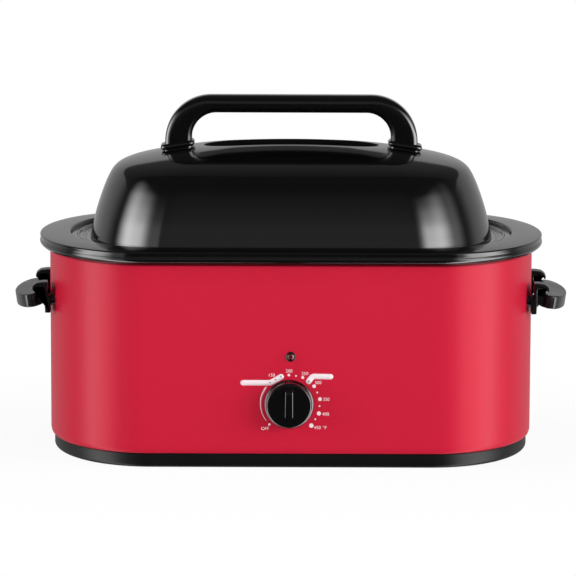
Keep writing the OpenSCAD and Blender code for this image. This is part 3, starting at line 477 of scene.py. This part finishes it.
lap = planLap()
knob = {"x": -1.6, "z": 69.6, "radius": 26.0, "reach": 19.9, "face": 16.5, "ridge": 4.3, "flare": 1.4,
        "crest": 12.0, "fade": -15.0, "boss": 3.05, "sunk": 1.1, "squareness": 0.24, "across": 25}
lamp = {"z": 119.9, "radius": 5.3, "bore": 3.7, "neck": 4.4, "tail": -9.0, "lens": 3.6, "lensTail": -4.0,
        "domeFoot": 0.4, "domeRise": 1.6}
rim = {"a": 271.0, "b": 208.0, "top": 231.5}
shell = {"a": 260.0, "b": 197.0, "footA": 258.7, "footB": 195.7, "footZ": 20.6, "low": 16.0, "high": 226.2,
         "wall": 1.2, "groove": 0.5, "sharp": 40.0, "shaftHole": 5.4, "lampHole": 4.6, "glandHole": 8.2,
         "glandX": 96.0, "glandZ": 34.0, "drillLength": 15.0}


def frontWall(z, s=shell):
    # how far the painted front stands out at a height
    return -(s["footB"] + (s["b"] - s["footB"]) * (z - s["footZ"]) / (s["high"] - s["footZ"]))


def insetRows(a, b, profile):
    # rows of inset and height (and crown) become rows of half length, half depth, height, crown
    p = np.asarray(profile, float)
    crown = p[:, 2] if p.shape[1] > 2 else np.zeros(len(p))
    return np.stack([a - p[:, 0], b - p[:, 0], p[:, 1], crown], 1)


def makeShell(s):
    w = s["wall"]
    drop = s["a"] - s["footA"]
    corners = [[drop + 14, s["low"]], [drop + 1.6, s["low"]], [drop, s["footZ"]], [0, s["high"]],
               [16, s["high"]], [16, s["high"] - w], [w, s["high"] - w], [drop + w, s["footZ"] + 0.2],
               [drop + 2.4, s["low"] + w], [drop + 14, s["low"] + w]]
    reach = [0.2, 2.2, 2.2, 1.2, 0.2, 0.2, 0.8, 1.5, 1.6, 0.2]
    outline = rounded(corners, reach, 7, closed=True)
    piece = makePiece("bodyShell", loftPart(insetRows(s["a"], s["b"], outline), lap, hoop=True),
                      paints["red_paint"], "base", ["shell_front", "shell_back"], s["sharp"])
    length = s["drillLength"]
    holes = [rodPart(s["shaftHole"], (knob["x"], -s["b"] - 5, knob["z"]), length, "Y"),
             rodPart(s["lampHole"], (0, -s["b"] - 5, lamp["z"]), length, "Y"),
             rodPart(s["glandHole"], (s["glandX"], s["b"] - 10, s["glandZ"]), length, "Y")]
    # the line where the two half wraps meet leans with the wall: x grows by lean z
    lean = drop / (s["high"] - s["footZ"])
    groove = blockPart((s["footA"] - s["groove"] - lean * s["footZ"], -0.05, s["low"] - 1),
                       (s["a"] + 2, 0.1, s["high"] + 1))
    groove = placed(groove, Matrix(((1, 0, lean, 0), (0, 1, 0, 0), (0, 0, 1, 0), (0, 0, 0, 1))))
    holes += [groove, mirroredX(groove)]
    drill(piece, holes)
    soften(piece.data, s["sharp"])


makeShell(shell)

# corners of a closed section: inset from the outline, and height over the rim's top
rimCorners = [[10.7, -15.7], [7.8, -15.1], [3.9, -13], [1.2, -10.8], [0, -8.8], [0.3, -6.8], [0.9, -5.2],
              [0.7, -3.2], [0.3, -1.4], [0.8, -0.4], [2, 0], [11, 0.9], [21, 1.5], [31.6, 1.8], [33, 1.1],
              [33.4, -1], [33.5, -4], [38, -4], [38, -6.4], [30.8, -6.4], [30.8, -1.1], [21, -1.2], [11, -1.8],
              [5, -2.8], [3.6, -4.6], [3.4, -7.8], [4.8, -9.8], [8, -11.9], [10.7, -12.6]]
rimReach = [3.0] * 7 + [1.5, 0.5, 0.4, 0.7] + [3.0] * (len(rimCorners) - 11)
rimOutline = rounded([[inset, rim["top"] + rise] for inset, rise in rimCorners], rimReach, 6, closed=True)
makePiece("topRim", loftPart(insetRows(rim["a"], rim["b"], rimOutline), lap, hoop=True), paints["rim_enamel"],
          "base", ["top_rim"])

band = {"a": 254.7, "b": 191.7}
bandCorners = [[18, 1], [2.2, 1], [0, 3.4], [0, 15.8], [10, 15.8], [10, 13.2], [2.8, 13.2], [2.8, 4],
               [18, 4]]
bandReach = [0.3, 2.2, 2.2, 1.0, 0.3, 0.3, 0.8, 0.8, 0.3]
bandOutline = rounded(bandCorners, bandReach, 5, closed=True)
makePiece("baseBand", loftPart(insetRows(band["a"], band["b"], bandOutline), lap, hoop=True),
          paints["band_moulding"], "base", ["base_band"])
print("body made")

pan = {"a": 211.5, "b": 148.5, "floor": 62.0, "wall": 1.2, "shrink": 9.0}


def makePan(p):
    # the section runs from the middle of the underside, up and over the flange, and back along the floor
    s, w, low = p["shrink"], p["wall"], p["floor"]
    under = [[s + 150, low], [s + 8, low], [s + 3, low + 1.4], [s + 0.8, low + 4], [s, low + 9]]
    flange = [[0, 222], [-0.9, 224.9], [-2.6, 225.7], [-9.2, 225.8], [-10.2, 226.7], [-11.8, 226.7],
              [-12.6, 226.2], [-16, 226.3], [-17.2, 228.6], [-18.9, 228.6], [-20, 227.8], [-25.1, 227.8],
              [-25.7, 228.5], [-25, 229.2], [-19.3, 229.2], [-18.7, 230], [-17.4, 230], [-16.4, 227.6],
              [-12.9, 227.5], [-12, 228], [-10.3, 228], [-9.3, 226.9], [-2.2, 226.9], [-0.2, 226.2],
              [1.2, 224.6], [1.2, 222]]
    inside = [[s + w, low + 9.4], [s + w + 0.9, low + 4.8], [s + w + 2.8, low + 2.6], [s + 8.4, low + w],
              [s + 138, low + w]]
    reach = [1.6] * 4 + [0.35] * len(flange) + [1.6] * 4
    outline = rounded(under[1:] + flange + inside[:-1], reach, 5)
    profile = np.concatenate([[under[0]], outline, [inside[-1]]])
    profile[:, 0] = np.minimum(profile[:, 0], p["b"] - 0.05)
    makePiece("roastingPan", loftPart(insetRows(p["a"], p["b"], profile), lap), paints["black_enamel"], "pan",
              ["roasting_pan"])


makePan(pan)
print("pan made")

lid = {"a": 213.7, "b": 151.0, "wall": 1.4, "foot": 227.2, "crown": 325.2, "dish": 6.0, "middle": 150.9}


def makeLid(d):
    # rows are inset, height and crown, from the lip up the wall and in to the middle of the dish
    low, top = d["foot"], d["crown"]
    lip = rounded([[-2.6, low, 0], [-2.9, low + 0.8, 0], [-2.6, low + 2, 0], [-2.1, low + 3.6, 0]], 0.5, 4)
    wall = smoothRun([[-2, low + 4, 0], [0.2, 241, 0], [3.3, 254, 0], [7.2, 267, 0], [11.0, 278, 0],
                      [14.7, 287.4, 0], [18.9, 296, 0], [22.4, 301.2, 0], [26.9, 305.4, 0], [33.1, 308.9, 0],
                      [41.4, 312, 0], [52, 314.9, 0], [64, 317.4, 0.4], [78, 320, 1.4],
                      [94.7, top - 2.5, 2.6], [108, top - 0.8, 3.3], [116.5, top - 0.05, 3.6]], 8)
    dish = rounded([[117, top, 3.6], [118.9, top, 3.65], [123.4, top - d["dish"], 3.8],
                    [128, top - d["dish"], 3.8], [d["middle"], top - d["dish"], 3.8]], 1.6, 6)
    outer = np.concatenate([lip, wall, dish])
    # the inside follows the outside a wall's thickness in
    body = outer[len(lip):]
    along = np.gradient(body[:, :2], axis=0)
    along /= np.linalg.norm(along, axis=1)[:, None]
    inner = body.copy()
    inner[:, 0] += d["wall"] * along[:, 1]
    inner[:, 1] -= d["wall"] * along[:, 0]
    inner[:, 0] = np.minimum(inner[:, 0], d["middle"])
    foot = np.array([[d["wall"] - 2.6, low, 0]])
    profile = np.concatenate([inner[::-1], foot, outer])
    makePiece("lidShell", loftPart(insetRows(d["a"], d["b"], profile), lap), paints["black_enamel"], "lid",
              ["lid_shell"])


makeLid(lid)

bow = {"outer": 136.0, "inner": 107.0, "top": 379.8, "bar": 19.0, "outerRound": 50.0, "innerRound": 26.0,
       "foot": 327.0, "slope": 9.4, "depth": 30.0, "edge": 6.5, "barEdge": 9.2, "barFrom": 22.0,
       "barBlend": 30.0, "sides": 48}


def bowRun(half, top, corner, footZ, steps=26):
    # up one leg, round the corner, along the bar and down again
    turn = np.linspace(0, math.pi / 2, steps)
    leg = np.stack([np.full(6, half), np.linspace(footZ, top - corner, 6, endpoint=False)], 1)
    bend = np.stack([half - corner + corner * np.cos(turn), top - corner + corner * np.sin(turn)], 1)
    bar = np.stack([np.linspace(half - corner, 0, 10)[1:], np.full(9, top)], 1)
    right = np.concatenate([leg, bend, bar])
    return np.concatenate([right, right[-2::-1] * [-1, 1]])


def makeBow(b):
    # rings of a rounded box stand between an outer and an inner run
    rise = (b["outer"] - b["inner"]) * math.tan(math.radians(b["slope"]))
    outside = bowRun(b["outer"], b["top"], b["outerRound"], b["foot"])
    inside = bowRun(b["inner"], b["top"] - b["bar"], b["innerRound"], b["foot"] + rise)
    across = outside - inside
    thick = np.linalg.norm(across, axis=1)[:, None]
    across /= thick
    middle = (outside + inside) / 2
    turn = np.linspace(0, 2 * math.pi, b["sides"], endpoint=False) + math.pi / b["sides"]
    p, q = np.cos(turn), np.sin(turn)
    # the bar is rounder than the legs
    ease = np.clip((b["outer"] - b["barFrom"] - np.abs(middle[:, :1])) / b["barBlend"], 0, 1)
    edge = b["edge"] + (b["barEdge"] - b["edge"]) * ease * ease * (3 - 2 * ease)
    out = np.sign(p) * (thick / 2 - edge) + p * edge
    side = np.sign(q) * (b["depth"] / 2 - edge) + q * edge
    x = middle[:, :1] + across[:, :1] * out
    z = middle[:, 1:] + across[:, 1:] * out
    y = np.broadcast_to(side, x.shape)
    points = np.stack([x, y, z], -1).reshape(-1, 3)
    makePiece("lidHandle", (points, tubeFaces(*x.shape)), paints["black_gloss"], "lid",
              ["lid_handle"])


makeBow(bow)

collar = {"inner": 104.0, "outer": 141.0, "depth": 38.0, "corner": 8.0, "round": 3.2, "skirt": 2.5,
          "gap": 0.05}


def makeCollars(c, b=bow):
    # a straight skirt under a half-round bead, in rings of one rounded rectangle
    middle = (c["inner"] + c["outer"]) / 2
    drop = (b["outer"] - middle) * math.tan(math.radians(b["slope"]))
    turn = np.linspace(-math.pi / 2, math.pi / 2, 11)
    r = c["round"]
    heights = np.concatenate([[-r - c["skirt"]], r * np.sin(turn)])
    insets = np.concatenate([[r], r * (1 - np.cos(turn))])
    half = np.array([(c["outer"] - c["inner"]) / 2, c["depth"] / 2])
    plan = rounded(half * [[-1, -1], [1, -1], [1, 1], [-1, 1]], c["corner"], 10, closed=True)
    shrink = (half[None] - insets[:, None]) / half[None]
    points = np.concatenate([plan[None] * shrink[:, None],
                             np.broadcast_to(heights[:, None, None], (len(heights), len(plan), 1))], -1)
    part = (points.reshape(-1, 3), tubeFaces(len(heights), len(plan)))
    right = placed(part, turned("Y", b["slope"], (middle, 0, b["foot"] + drop - r - c["gap"])))
    makePair("collar", right, "black_gloss", "lid", "handle_foot")


makeCollars(collar)
print("lid made")

grip = {"inner": 267.5, "reach": 298.0, "half": 77.0, "thick": 14.0, "top": 173.0, "droop": 8.7, "edge": 1.3,
        "shoulder": 10.0, "sweep": 74.0, "wholeSweep": 78.0, "postY": 61.7, "postOut": 264.0,
        "knuckleDepth": 16.0, "knuckleReach": 276.0, "knuckleLow": 158.6, "knuckleEdge": 0.5, "arch": 3.8}


def makeGrip(g):
    # a drooping D-shaped plate, with a knuckle at each post that is hollowed by an arch below
    turn = np.radians(np.linspace(-g["sweep"], g["sweep"], 60))
    span = g["reach"] - g["inner"] - g["shoulder"]
    curve = np.stack([g["shoulder"] + span * np.cos(turn),
                      g["half"] * np.sin(turn) / math.sin(math.radians(g["wholeSweep"]))], 1)
    corner = rounded([[15.6, 75.7], [8.5, 77.4], [0, 62], [0, 40]], [1, 3.6, 12, 1], 7)[1:-1]
    outline = np.concatenate([curve, corner, corner[::-1] * [1, -1]])
    hang = turned("Y", g["droop"], (g["inner"], 0, g["top"])) @ Matrix.Translation((0, 0, -g["thick"]))
    plate = placed(slabPart(outline, g["thick"], g["edge"]), hang)
    x0, x1, low = g["postOut"] + 0.1, g["knuckleReach"], g["knuckleLow"]
    arch = np.radians(np.linspace(0, 180, 14))
    archRun = np.stack([x0 + g["arch"] * (1 + np.cos(arch)), low - 1.5 + g["arch"] * np.sin(arch)], 1)
    archRun = archRun[archRun[:, 1] > low + 0.2]
    side = np.concatenate([[[x1, low]], [[x1, g["top"] - 3.4]], [[x0, g["top"] - 2.6]], [[x0, low]],
                           archRun[::-1]])
    block = slabPart(side, g["knuckleDepth"], g["knuckleEdge"], 2)
    parts = [plate]
    for y in (-g["postY"], g["postY"]):
        parts.append(placed(block, Matrix.Translation((0, y + g["knuckleDepth"] / 2, 0)) @ turned("X", 90)))
    makePair("grip", merged(parts), "black_moulding", "base", "side_handle", 32.0)


makeGrip(grip)

hook = {"inner": 257.5, "neck": 260.8, "outer": 264.0, "foot": 151.0, "tip": 277.3, "top": 183.7, "arm": 5.0,
        "depth": 25.0, "y": 61.7, "edge": 0.6, "pegX": 252.0, "pegZ": 164.0, "pegRadius": 6.0,
        "pegLength": 6.0}


def makeHooks(h):
    # each post is a plate with an arm at its top, and a round peg through the wall
    top, tip, out = h["top"], h["tip"], h["outer"]
    corners = [[h["inner"], h["foot"]], [out - 0.8, h["foot"]], [out, h["foot"] + 12], [out, top - 7],
               [out + 1.4, top - h["arm"] - 0.2], [tip - 5, top - h["arm"] - 0.2], [tip - 3, top - 6.8],
               [tip - 1.4, top - 8.9], [tip, top - 8.2], [tip, top - 5.2], [tip - 1.8, top - 3],
               [tip - 5, top - 0.9], [out + 2, top], [h["neck"], top], [h["neck"], top - 14],
               [h["inner"], top - 17]]
    side = rounded(corners, 0.8, 3, closed=True)
    post = slabPart(side, h["depth"], h["edge"], 3)
    parts = []
    for y in (-h["y"], h["y"]):
        parts.append(placed(post, Matrix.Translation((0, y + h["depth"] / 2, 0)) @ turned("X", 90)))
        parts.append(rodPart(h["pegRadius"], (h["pegX"], y, h["pegZ"]), h["pegLength"], "X", 40))
    makePair("hooks", merged(parts), "black_moulding", "base", "hook_posts", 32.0)


makeHooks(hook)
print("grips and hooks made")


def makeKnob(k):
    # a turned disc with a grip bar across its face, in rings of a squared half round
    r, face = k["radius"], k["face"]
    back = frontWall(k["z"]) - k["sunk"]
    corners = [[k["boss"], 2.1], [r - 4, 2.1], [r - 4, 0], [r - 0.4, 0], [r, 0.8], [r - 0.2, 2.1],
               [r - 1.7, 3.0], [r - 1.9, face - 2.2], [r - 2.8, face - 0.1], [r - 8, face + 0.1],
               [0.01, face + 0.1]]
    disc = lathePart(rounded(corners, [0.1, 0.3, 0.3, 0.4, 0.7, 0.7, 0.7, 2.6, 2.0, 3.0, 0.1], 6), 120)
    # the grip bar's side view: up from the knob's centre, and out from its back
    sideView = smoothRun([[k["fade"] - 3, face - 0.5], [k["fade"], face], [k["crest"] - 4, k["reach"] - 0.45],
                          [k["crest"], k["reach"]], [k["crest"] + 2.6, k["reach"] - 0.5],
                          [k["crest"] + 4.6, k["reach"] - 2.4], [r - 6.2, 11.6], [r - 3, 7.0], [r - 1.2, 3.6],
                          [r - 0.5, 1.4]], 6)
    up, out = sideView[:, :1], sideView[:, 1:]
    # w goes over the bar from one side to the other
    w = np.linspace(0, math.pi, k["across"])[None]
    base = np.minimum(out - 0.4, np.clip(face - 3 - (up - k["crest"]) * 1.2, 0.8, face - 3))
    below = np.clip((up - k["crest"] - 1) / (r - k["crest"] - 1), 0, 1)
    half = k["ridge"] + k["flare"] * below ** 1.3 + 0 * w
    x = half * np.sign(np.cos(w)) * np.abs(np.cos(w)) ** k["squareness"]
    high = base + (out - base) * np.abs(np.sin(w)) ** k["squareness"]
    points = np.stack([x, up + 0 * w, high], -1).reshape(-1, 3)
    faces = gridFaces(len(up), k["across"], wrapColumns=False)
    bar = (points, [face[::-1] for face in faces])
    stand = turned("X", 90, (k["x"], back, k["z"]))
    makePiece("controlKnob", placed(merged([disc, bar]), stand), paints["black_gloss"], "knob",
              ["control_knob"], 38.0)


makeKnob(knob)


def makeLamp(p):
    # a hollow bezel round a domed lens, both standing out from the wall
    r, bore, neck = p["radius"], p["bore"], p["neck"]
    stand = turned("X", 90, (0, frontWall(p["z"]) - 0.1, p["z"]))
    bezel = rounded([[bore, p["tail"]], [neck, p["tail"]], [neck, -0.1], [r, 0.1], [r, 1.0], [r - 0.6, 1.6],
                     [4.2, 1.6], [bore, 0.9]], [0.1, 0.1, 0.1, 0.2, 0.6, 0.5, 0.4, 0.4], 5, closed=True)
    makePiece("lampBezel", placed(lathePart(bezel, 64, hoop=True), stand), paints["black_moulding"], "base",
              ["lamp_bezel"])
    # the dome stops just short of the axis, where a cap closes it
    turn = np.linspace(0, math.pi / 2, 12)
    pole = 0.01
    dome = np.stack([(p["lens"] - pole) * np.cos(turn) + pole,
                     p["domeFoot"] + p["domeRise"] * np.sin(turn)], 1)
    lens = np.concatenate([[[p["lens"], p["lensTail"]]], dome])
    makePiece("lampLens", placed(lathePart(lens, 64), stand), paints["lamp_red"], "base",
              ["lamp_lens"])


makeLamp(lamp)

# dial marks: places in mm across and up from the knob's centre, then a dot's radius
dial = {"text": 4.8, "film": 0.05, "lift": 0.05, "pipLift": 0.1, "pip": 0.75, "pill": 2.9, "ring": 30.0,
        "sweepFrom": -127, "sweepTo": -53, "sweepThin": 0.3, "sweepThick": 1.1}
dialDots = [(-0.3, 30.8, 1.4), (7.3, 29.9, 0.85), (14.4, 28.2, 1.5), (26.4, 19.0, 1.9), (29.8, 12.3, 0.9),
            (32.7, 5.2, 2.0), (32.2, -2.1, 0.9), (31.6, -10.0, 2.2), (27.8, -16.2, 0.9), (23.6, -23.0, 2.3),
            (-20.7, -22.0, 1.25)]
dialPips = [(-20.2, 22.8), (-14.6, 25.8), (-8.6, 29.1), (20.9, 24.4)]
dialPills = [[[-51.4, 22.5], [-19.7, 22.5], [-6.0, 30.4]], [[19.0, 21.7], [24.6, 29.5], [46.6, 29.1]]]
dialWords = {"200": (-0.1, 34.9), "250": (16.6, 32.2), "300": (30.6, 22.7), "350": (39.2, 5.0),
             "400": (38.6, -10.8), "450": (30.0, -25.3), "°F": (37.6, -25.3), "OFF": (-25.2, -26.4),
             "150": (-18.6, 30.4)}


def onPanel(part, lift):
    # stands a flat part up on the painted front, turned to face the cook
    tilt = math.degrees(math.atan((shell["b"] - shell["footB"]) / (shell["high"] - shell["footZ"])))
    return placed(part, turned("X", 90 + tilt, (knob["x"], frontWall(knob["z"]) - lift, knob["z"])))


def discPart(x, y, radius, sides=28):
    # a flat round mark
    turn = np.linspace(0, 2 * math.pi, sides, endpoint=False)
    points = np.stack([x + radius * np.cos(turn), y + radius * np.sin(turn), 0 * turn], 1)
    return points, [list(range(sides))]


def ribbonPart(route, half, steps=10):
    # a flat band along a route whose half width may change, with round ends
    p = rounded(route, 2.2, 6)
    gap = np.linalg.norm(np.diff(p, axis=0), axis=1)
    far = np.concatenate([[0], np.cumsum(gap)])
    total = far[-1]
    half = np.atleast_1d(half).astype(float)
    ease = 1 - np.cos(np.linspace(0, math.pi / 2, steps))
    first, last = half[0], half[-1]
    s = np.unique(np.concatenate([ease * first, np.linspace(first, total - last, 60), total - ease * last]))
    line = np.stack([np.interp(s, far, p[:, 0]), np.interp(s, far, p[:, 1])], 1)
    way = np.gradient(line, axis=0)
    way /= np.linalg.norm(way, axis=1)[:, None]
    width = np.interp(s / total, np.linspace(0, 1, len(half)), half)
    # each end narrows as a half circle does
    for inside in (s / first, (total - s) / last):
        width *= np.sqrt(np.clip(1 - (1 - np.clip(inside, 0, 1)) ** 2, 0.0004, 1))
    side = np.stack([-way[:, 1], way[:, 0]], 1) * width[:, None]
    flat = np.stack([line - side, line + side], 1)
    points = np.concatenate([flat, np.zeros(flat.shape[:2] + (1,))], -1).reshape(-1, 3)
    return points, gridFaces(len(s), 2, wrapColumns=False)


def textPart(words, x, y, size):
    # the built-in typeface, turned into a flat mesh
    curve = bpy.data.curves.new("marks", "FONT")
    curve.body, curve.size = words, size
    curve.align_x, curve.align_y = "CENTER", "CENTER"
    curve.resolution_u = 4
    holder = bpy.data.objects.new("marks", curve)
    bpy.context.collection.objects.link(holder)
    bpy.context.view_layer.update()
    mesh = holder.to_mesh()
    points = np.empty(len(mesh.vertices) * 3)
    mesh.vertices.foreach_get("co", points)
    faces = [list(face.vertices) for face in mesh.polygons]
    points = points.reshape(-1, 3) + [x, y, 0]
    holder.to_mesh_clear()
    bpy.data.objects.remove(holder)
    return points, faces


def makeDial(d):
    white = [discPart(x, y, radius) for x, y, radius in dialDots]
    white += [textPart(word, x, y, d["text"]) for word, (x, y) in dialWords.items()]
    white += [ribbonPart(route, d["pill"]) for route in dialPills]
    sweep = np.radians(np.linspace(d["sweepFrom"], d["sweepTo"], 30))
    arc = np.stack([np.sin(sweep), np.cos(sweep)], 1) * d["ring"]
    pink = [ribbonPart(arc, np.linspace(d["sweepThin"], d["sweepThick"], 12))]
    dark = [discPart(x, y, d["pip"]) for x, y in dialPips]
    for name, parts, material, lift in (("dialMarks", white, printWhite, d["lift"]),
                                        ("dialSweep", pink, printPink, d["lift"]),
                                        ("dialPips", dark, printBlack, d["pipLift"])):
        makePiece(name, onPanel(merged(parts), lift), material, "base", sharp=32.0,
                  thicken=d["film"])


makeDial(dial)
print("knob, lamp and dial made")


def addFloor(s):
    # a pale floor that keeps its shadow; the camera sees it glow towards white, fully so from afar
    mesh = bpy.data.meshes.new("studioFloor")
    reach = s["floorReach"]
    mesh.from_pydata([(-reach, -reach, 0), (reach, -reach, 0), (reach, reach, 0), (-reach, reach, 0)], [],
                     [(0, 1, 2, 3)])
    floor = bpy.data.objects.new("studioFloor", mesh)
    bpy.context.collection.objects.link(floor)
    f = Finish("studioFloor", (s["floorTone"],) * 3, 0.9, level=0.0)
    seen = f.add("LightPath", output=0)
    spot = f.add("TexCoord", output=3)
    far = f.add("VectorMath", {"operation": "LENGTH"}, 1, i0=spot)
    away = f.add("MapRange", {"interpolation_type": "SMOOTHSTEP"}, Value=far, i1=s["glowFrom"],
                 i2=s["glowTo"])
    glow = f.add("Emission", Color=(1, 1, 1, 1), Strength=1.0)
    plain = Value(f.tree, f.shader.outputs[0])
    both = f.add("MixShader", i0=seen * (away * (1 - s["floorGlow"]) + s["floorGlow"]), i1=plain, i2=glow)
    f.tree.links.new(both.socket, f.tree.nodes["Material Output"].inputs[0])
    mesh.materials.append(f.material)
    floor.visible_glossy = False


# where each part of the surrounding light starts and stops, as facing, height or x of a direction
edges = {"high": (0.0, 0.25), "leftFront": (0.62, 0.2), "leftBack": (-0.5, -0.1), "rightFront": (0.76, 0.48),
         "rightBack": (-0.55, 0.0), "rightward": (-0.1, 0.1), "low": (0.2, 0.65), "veilFront": (0.88, 0.8),
         "veilBack": (-0.5, -0.2), "ahead": (-0.1, 0.2), "behind": (-0.5, -0.75), "frontRise": (-0.08, 0.18),
         "frontFall": (0.25, 0.75), "backFall": (0.31, 0.34), "overhead": (0.3, 0.9)}


def addWorld(s):
    # a dim front, large soft lights at both sides and a dim back, painted by direction;
    # facing = -y / sqrt(x^2 + y^2) is 1 towards the cook and -1 behind the oven
    world = bpy.data.worlds.new("studioWorld")
    bpy.context.scene.world = world
    world.use_nodes = True
    # a Finish without a shader, for its add()
    f = Finish.__new__(Finish)
    f.tree = world.node_tree
    direction = f.add("TexCoord", output=0)
    x, y, z = [f.add("SeparateXYZ", output=place, Vector=direction) for place in range(3)]
    facing = (y * -1.0) / ((x * x + y * y + 0.0001) ** 0.5)

    def ease(value, start, stop):
        return f.add("MapRange", {"interpolation_type": "SMOOTHSTEP"}, Value=value, i1=start, i2=stop)

    # each side light is a range of facing: it rises past the front and falls behind the oven
    high = ease(z, *edges["high"])
    leftLight = ease(facing, *edges["leftFront"]) * ease(facing, *edges["leftBack"])
    lifted = facing - high * 0.2
    fallen = facing - high * 0.35
    rightLight = ease(lifted, *edges["rightFront"]) * ease(fallen, *edges["rightBack"]) * s["rightSide"]
    rightward = ease(x, *edges["rightward"])
    beside = leftLight * (1 - rightward) + rightLight * rightward
    low = 1 - ease(z, *edges["low"])
    veil = ease(facing, *edges["veilFront"]) * ease(facing, *edges["veilBack"]) * s["veil"]
    ahead = ease(facing, *edges["ahead"])
    behind = ease(facing, *edges["behind"])
    front = ease(z, *edges["frontRise"]) * (1 - ease(z, *edges["frontFall"])) * s["front"] + s["frontHigh"]
    flank = low * s["flank"] + s["frontHigh"]
    back = (1 - ease(z, *edges["backFall"])) * (s["back"] - s["backHigh"]) + s["backHigh"]
    level = ahead * front + (1 - ahead) * ((1 - behind) * flank + behind * back)
    level = level + (beside * s["side"] + veil) * low + ease(z, *edges["overhead"]) * s["overhead"]
    cameraRay = f.add("LightPath", output=0)
    level = level * (1 - cameraRay) + cameraRay
    backdrop = f.tree.nodes["Background"]
    backdrop.inputs[0].default_value = (1, 1, 1, 1)
    f.tree.links.new(level.socket, backdrop.inputs[1])


lamps = [
    # name, place, aimed at, width, height, power
    ("topBox", (0.0, -0.6, 2.4), (0, 0, 0.1), 2.6, 2.0, 18.0),
    ("frontFill", (0.0, -3.2, 0.5), (0, 0, 0.12), 3.0, 0.8, 60.0),
]


def addLamps(rows):
    for name, place, aim, width, height, power in rows:
        light = bpy.data.lights.new(name, "AREA")
        light.shape, light.size, light.size_y, light.energy = "RECTANGLE", width, height, power
        holder = bpy.data.objects.new(name, light)
        bpy.context.collection.objects.link(holder)
        holder.location = place
        holder.rotation_euler = (Vector(aim) - Vector(place)).to_track_quat("-Z", "Y").to_euler()
        holder.visible_camera = False
        holder.visible_glossy = False


addFloor(studio)
addWorld(studio)
addLamps(lamps)
bpy.context.scene.view_settings.view_transform = "Standard"
print("studio ready")
